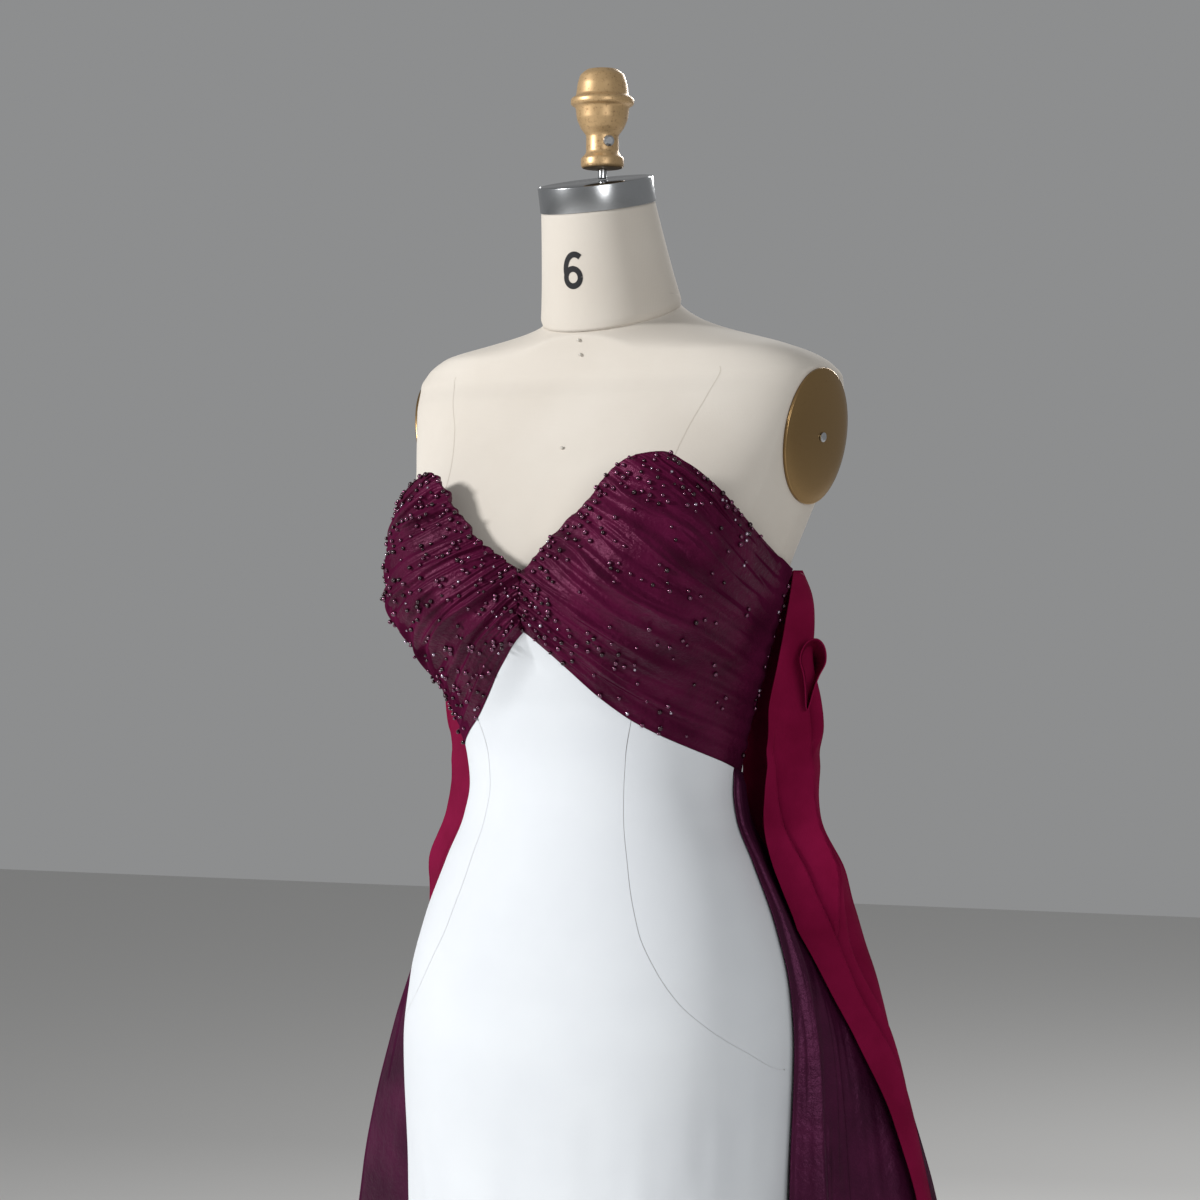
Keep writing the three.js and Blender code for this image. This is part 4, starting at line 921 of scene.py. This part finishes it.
class DRESS_OT_beads(bpy.types.Operator):
    """Sews pearls and crystals on the bodice: thick along the inner neckline and centre front,
    thinner outwards in trails, with a line on the outer neckline and down the side seam"""
    bl_idname = "dress.beads"
    bl_label = "Beads"

    def execute(self, context):
        looks = {"pearls": ("plum_pearl", 0.62), "garnets": ("garnet_glass", 0.31),
                 "crystals": ("clear_crystal", 0.07)}
        places = {name: [] for name in looks}
        share = [look[1] for look in looks.values()]
        r, q = np.meshgrid(np.linspace(0.002, 0.995, 150), np.linspace(0.004, 0.996, 170))
        for side in (1, -1):
            rng = np.random.default_rng(21 if side > 0 else 22)
            points, angle, z = cup_points(side, r, q)
            normal = np.cross(np.gradient(points, axis=1), np.gradient(points, axis=0)) * side
            normal /= np.linalg.norm(normal, axis=-1, keepdims=True)
            spots = self.scatter(rng, side, angle.ravel(), z.ravel())
            radius = sizes().bead_radius * 1000 * rng.uniform(0.6, 1.05, len(spots))
            kind = rng.choice(len(looks), len(spots), p=share)
            radius[kind == 2] *= 0.75
            lift = normal.reshape(-1, 3)[spots] * radius[:, None] * 0.7
            at = points.reshape(-1, 3)[spots] + lift
            for number, name in enumerate(looks):
                keep = kind == number
                places[name].append(np.column_stack([at[keep], radius[keep]]))
        for name, (look, _) in looks.items():
            spots = np.concatenate(places[name])
            shape, quads = bead_shape(6, 10)
            points = spots[:, None, :3] + shape[None] * spots[:, None, 3:]
            beads = put_copies(f"bodice_{name}", points, quads)
            finish_piece(beads, get_material(look))
        return {"FINISHED"}

    def scatter(self, rng, side, angle, z):
        """Picks grid places for one cup's beads by how near they are to its edges and trails,
        in random order, and drops those closer than a bead's width to one picked before."""
        pick = rng.permutation(len(angle))[:12000]
        a, h = angle[pick], z[pick]
        edge = np.linspace(0, PEAK[side], 30)
        neck = np.stack([edge, neckline[side](edge)], -1)
        inner = near_line(a, h, np.vstack([[(0, 1187)], neck]))
        rim = np.linspace(PEAK[side], 72, 30)
        outer = near_line(a, h, np.stack([rim, neckline[side](rim)], -1))
        low = np.linspace(0, 50, 30)
        lower = near_line(a, h, np.stack([low, underbust(low) + 4], -1))
        seam = near_line(a, h, ((101, 1080), (101, 1228)))
        trail = np.min([near_line(a, h, line) for line in BEAD_TRAILS], 0)
        top = np.exp(-(near_line(a, h, ((24, 1316), (36, 1300))) / 17) ** 2)
        field = 0.03 if side > 0 else 0.15
        wanted = (1.3 * np.exp(-(inner / 11) ** 2) + 0.34 * np.exp(-(inner / 30) ** 2) + 0.8 * top
                  + 0.5 * np.exp(-(outer / 2.5) ** 2) + 0.22 * np.exp(-(trail / 6) ** 2)
                  + 0.10 * np.exp(-(lower / 6) ** 2) + 0.55 * np.exp(-(seam / 3.0) ** 2)
                  + field * (a < 75) + 0.5 * np.exp(-(a / 6) ** 2))
        keep = rng.uniform(0, 1, len(a)) < 0.18 * np.minimum(wanted, 1.3)
        pick, a, h = pick[keep], a[keep] * 2.4, h[keep]
        close = np.hypot(a[:, None] - a, h[:, None] - h) < 3.5
        return pick[~np.any(np.tril(close, -1), axis=1)]


# Sheath.

class DRESS_OT_sheath(bpy.types.Operator):
    """Builds the white sheath: front, side fronts and backs"""
    bl_idname = "dress.sheath"
    bl_label = "Sheath"

    def execute(self, context):
        self.front()
        for side, word in SIDES:
            self.side_front(side, word)
            self.back(side, word)
        return {"FINISHED"}

    def points(self, angle, z):
        """The sheath's distance plus faint hangs of the crepe below the hip."""
        hang = 1.6 * smooth_noise(3, angle * 1.3 + 300, z * 0.12 + 50, 9)
        soft = hang * ease(900, 600, z)
        return around(angle, z, sheath_out(angle, z) + soft)

    def front(self):
        u = np.linspace(-1, 1, 161)[None, :]
        low_z = np.linspace(HEM_Z, 834, 150)
        high_z = np.concatenate([np.linspace(834.8, 875, 60), np.linspace(878, HIP_TOP, 90)])
        edge = np.concatenate([np.full(150, 90.0), hip_seam(high_z) - 0.08])
        seam_z = np.concatenate([low_z, high_z])[:, None]
        angle = u * edge[:, None]
        corner = underbust(hip_seam(HIP_TOP)) - SEAM
        climb = ease(950, corner, seam_z)
        z = np.minimum(seam_z, corner) + climb * (underbust(np.abs(angle)) - SEAM - corner)
        piece = cloth("sheath_white_front", hem_rolled(self.points(angle, z)),
                      get_material("white_crepe"), ["sheath_front"], 0)

    def side_front(self, side, word):
        low = 835.0
        seam_z = np.concatenate([np.linspace(low, 875, 60), np.linspace(878, HIP_TOP, 80)])[:, None]
        t = np.linspace(0, 1, 50)[None, :]
        climb = (seam_z - low) / (HIP_TOP - low)
        edge_z = mix(low, underbust(90.0) - SEAM, climb)
        angle = mix(hip_seam(seam_z) + 0.08, 90.0, t)
        flat = mix(np.minimum(seam_z, underbust(hip_seam(seam_z)) - SEAM), edge_z, t)
        crown = underbust(angle) - SEAM
        z = np.minimum(mix(flat, crown, ease(0.7, 1, climb) * np.minimum(1, 3 * t)), crown)
        points = self.points(angle, z)
        points[..., 0] *= side
        piece = cloth(f"sheath_white_side_{word}", points, get_material("white_crepe"),
                      [f"sheath_side_front_{word}"], 0)

    def back(self, side, word):
        angle = np.linspace(90.0, 179.95, 90)[None, :]
        t = np.linspace(0, 1, 190)[:, None]
        z = mix(HEM_Z, underbust(angle) - SEAM, t)
        points = self.points(angle, z)
        points[..., 0] *= side
        piece = cloth(f"sheath_white_back_{word}", hem_rolled(points),
                      get_material("white_crepe"), [f"sheath_back_{word}"], 0)


# Overskirt and drapes.

def overskirt_points(side, angle, z):
    """The overskirt's distance, with smaller folds between the flutes that grow to the hem,
    long soft ripples that run down it, and small puckers under the waist seam. Its top is drawn
    in to the bodice by 2.2 mm."""
    start = SPREAD[side]["angle"][0]
    place = (angle - start) / (180 - start)
    grow = ease(1060, 300, z)
    small = 5.5 * grow * smooth_noise(5 + side, place * 60 + 9, z * 0.006 + 3, 1.6)
    ripple = 1.6 * ease(1070, 900, z) * smooth_noise(90 + side, place * 130, z * 0.012, 1)
    pucker = 1.2 * np.sin(place * 150 + 2.2 * np.sin(place * 23)) * ease(940, 1068, z)
    seam = ease(-12, -1, z - underbust(angle))
    edge = ease(0, 0.03, place) * ease(1, 0.985, place) * (1 - seam)
    points = around(angle, z, overskirt_out(side, angle, z) - 2.2 * seam
                    + (small + ripple + pucker) * edge)
    points[..., 0] = np.maximum(points[..., 0], 0.15) * side
    return points


def drape_points(side, s, z):
    """Across the drape, its angle runs from its front edge to its back edge, and its distance
    from the cloth below rises to the fullest part and falls again, less three folds and four
    long creases that slant back as they fall."""
    first = s < 0.4
    t = np.where(first, s / 0.4, (s - 0.4) / 0.6)
    angle = np.where(first, mix(drape["front"](z), drape["full"](z), t),
                     mix(drape["full"](z), drape["back"](z), t))
    bow = np.sin(np.pi / 2 * np.where(first, t, 1 - t))
    edge = np.where(first, drape["off_front"](z), drape["off_back"](z))
    full = drape["off_full"](z) - LOOP["lower"] * np.exp(-((z - LOOP["z"]) / 34) ** 2)
    off = mix(edge, full, np.where(first, bow ** 1.3, bow ** 1.6))
    deep = np.minimum(6, off * 0.16)
    fold = deep * (1 - np.cos(2 * np.pi * 3 * s)) / 2
    free = ease(0, 0.06, s) * ease(1, 0.94, s) * ease(1238, 1190, z)
    room = np.clip(off / 30, 0.12, 1)
    for place, slant, low, high, wide, depth in DRAPE_CREASES:
        line = place + slant * (high - z) / (high - low)
        gap = (s - line) / wide
        sharp = np.where(gap < 0, np.exp(-(gap / 0.25) ** 2), np.exp(-(gap / 1.3) ** 2))
        fold = fold + depth * sharp * ease(low, low + 60, z) * ease(high, high - 40, z)
    sway = 2.2 * smooth_noise(80 + side, s * 6, z * 0.011, 1)
    sunk = np.minimum((fold - sway) * free * room, 0.7 * np.maximum(off - edge, 0))
    out = drape_cover(side, angle, z) + off - sunk + 1.5
    points = around(angle, z, out)
    points[..., 0] *= side
    return points


def loop_points(u, v):
    """The rolled edge of the left drape: a leaning oval ring, u round it and v from its front rim
    back into the drape, narrower as it goes in, and drawn out to a pointed flap below."""
    middle = drape_points(1, np.array([0.40]), np.array([LOOP["z"]]))[0]
    out = np.array([math.cos(math.radians(24)), math.sin(math.radians(24)), 0])
    ahead = np.array([math.sin(math.radians(26)), -math.cos(math.radians(26)), 0.10])
    lean = math.radians(-7)
    turn = 2 * np.pi * u
    low = np.clip(-np.sin(turn), 0, 1)
    close = 1 - 0.97 * ease(0.15, 1, v)
    across = LOOP["wide"] * np.cos(turn) * (1 - 0.6 * low ** 2) * close
    tall = LOOP["tall"] * np.sin(turn) * (1 + 1.5 * low ** 4) * close
    x = 0.5 - 2.5 * v + across * math.cos(lean) - tall * math.sin(lean)
    z = across * math.sin(lean) + tall * math.cos(lean)
    deep = 24 - 46 * v + 2.5 * np.sin(2 * turn) * (1 - v) - 9 * low ** 4 * (1 - v)
    points = middle + x[..., None] * out + deep[..., None] * ahead
    points[..., 2] += z
    return points


class DRESS_OT_skirts(bpy.types.Operator):
    """Builds the plum overskirt and the crimson side drapes"""
    bl_idname = "dress.skirts"
    bl_label = "Overskirt and drapes"

    def execute(self, context):
        t = np.linspace(0, 1, 200)[:, None]
        crimson = get_material("crimson_crepe")
        for side, word in SIDES:
            start = SPREAD[side]["angle"][0]
            angle = np.linspace(start, 180, 260)[None, :]
            z = mix(HEM_Z, underbust(angle) - SEAM, t)
            skirt = cloth(f"overskirt_plum_{word}", overskirt_points(side, angle, z),
                          get_material("plum_taffeta"), [f"overskirt_{word}"], 1.0)
            s = np.linspace(0, 1, 220)[None, :]
            z = np.linspace(12, 1238, 260)[:, None]
            piece = cloth(f"drape_crimson_{word}", drape_points(side, s, z), crimson,
                          [f"drape_{word}"], 1.0)
        u, v = np.meshgrid(np.linspace(0, 1, 72, endpoint=False), np.linspace(0, 1, 26))
        roll = put_grid("drape_roll_left", loop_points(u, v), closed=True)
        finish_piece(roll, crimson, thick=1.0)
        return {"FINISHED"}


# Zip.

class DRESS_OT_zip(bpy.types.Operator):
    """Builds the zip's teeth on its tape, and gives the slider and pull tab their metal"""
    bl_idname = "dress.zip"
    bl_label = "Zip"

    def execute(self, context):
        paint_node("zip", get_material("zip_tape"))
        for name in ("zip_slider", "zip_pull_tab"):
            paint_node(name, get_material("zinc_plate"))
        self.teeth()
        return {"FINISHED"}

    def teeth(self):
        """Rounded bars 1.5 mm apart that lean left and right in turn along the tape."""
        z = np.arange(1071.5, 1217, 1.5)
        shape, quads = bead_shape()
        middle = around(180, z, BODICE_OUT + 1.25)
        middle[:, 0] = np.where(np.arange(len(z)) % 2, 0.55, -0.55)
        points = middle[:, None] + shape[None] * np.array([1.35, 0.55, 0.5])
        teeth = put_copies("zip_teeth", points, quads)
        finish_piece(teeth, get_material("zip_nylon"))


# Stage.

class DRESS_OT_stage(bpy.types.Operator):
    """Sets the camera, the pale floor and the soft lights"""
    bl_idname = "dress.stage"
    bl_label = "Stage"

    def execute(self, context):
        scene = context.scene
        camera = bpy.data.objects.new("camera", bpy.data.cameras.new("camera"))
        scene.collection.objects.link(camera)
        turn = math.radians(30)
        camera.location = (3 * math.sin(turn), -3 * math.cos(turn), 1.181)
        camera.rotation_euler = (math.pi / 2 + math.atan2(0.033, 3), 0, turn)
        camera.data.sensor_width = 36
        camera.data.lens = 3615 / 1200 * 36
        camera.data.clip_end = 100
        scene.camera = camera
        half = sizes().floor_size / 2
        corners = half * np.array([(-1, -1, 0), (1, -1, 0), (1, 1, 0), (-1, 1, 0)])
        floor = put_mesh("floor", corners, np.array([[0, 1, 2, 3]]))
        plain, tree = new_material("floor_paint")
        shader(tree, Base_Color=(*colours().floor, 1), Roughness=0.9)
        floor.data.materials.append(plain)
        world = bpy.data.worlds.new("studio")
        world.use_nodes = True
        sky = world.node_tree.nodes["Background"]
        sky.inputs["Color"].default_value = (0.86, 0.87, 0.88, 1)
        sky.inputs["Strength"].default_value = 0.31
        scene.world = world
        self.light("key", (-2.3, -2.9, 2.4), (0, 0, 1.1), 0.8, 128)
        self.light("fill", (2.6, -2.4, 1.6), (0, 0, 1.0), 1.2, 28)
        self.light("back", (-0.6, 3.4, 2.8), (0, 0.2, 1.0), 1.4, 60)
        self.light("floor_wash", (0, 4.5, 3.5), (0, 6.5, 0), 3.0, 60)
        scene.view_settings.view_transform = "Standard"
        return {"FINISHED"}

    def light(self, name, place, target, size, power):
        lamp = bpy.data.lights.new(name, "AREA")
        lamp.shape = "DISK"
        lamp.size = size
        lamp.energy = power
        piece = bpy.data.objects.new(name, lamp)
        bpy.context.scene.collection.objects.link(piece)
        away = np.subtract(target, place)
        piece.location = place
        piece.rotation_euler = (
            math.atan2(math.hypot(away[0], away[1]), -away[2]), 0, math.atan2(-away[0], away[1]))


class DRESS_PT_panel(bpy.types.Panel):
    """Lists the dress's pieces and sizes"""
    bl_idname = "DRESS_PT_panel"
    bl_label = "Dress"
    bl_space_type = "VIEW_3D"
    bl_region_type = "UI"
    bl_category = "Dress"

    def draw(self, context):
        for name in ("gather_height", "bead_radius", "cloth_thickness", "floor_size"):
            self.layout.prop(context.scene.dress_sizes, name)
        self.layout.prop(context.scene.dress_colours, "floor")
        for step in STEPS:
            self.layout.operator(step.bl_idname)


STEPS = (DRESS_OT_stage, DRESS_OT_form, DRESS_OT_fittings, DRESS_OT_bodice, DRESS_OT_beads,
         DRESS_OT_sheath, DRESS_OT_skirts, DRESS_OT_zip)
CLASSES = (DressSizes, DressColours, *STEPS, DRESS_PT_panel)


def register():
    for item in CLASSES:
        bpy.utils.register_class(item)
    bpy.types.Scene.dress_sizes = bpy.props.PointerProperty(type=DressSizes)
    bpy.types.Scene.dress_colours = bpy.props.PointerProperty(type=DressColours)


def unregister():
    del bpy.types.Scene.dress_colours
    del bpy.types.Scene.dress_sizes
    for item in reversed(CLASSES):
        bpy.utils.unregister_class(item)


def main():
    register()
    bpy.ops.dress.stage()
    bpy.ops.dress.form()
    bpy.ops.dress.fittings()
    bpy.ops.dress.bodice()
    bpy.ops.dress.beads()
    bpy.ops.dress.sheath()
    bpy.ops.dress.skirts()
    bpy.ops.dress.zip()
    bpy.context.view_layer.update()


if __name__ == "__main__":
    main()
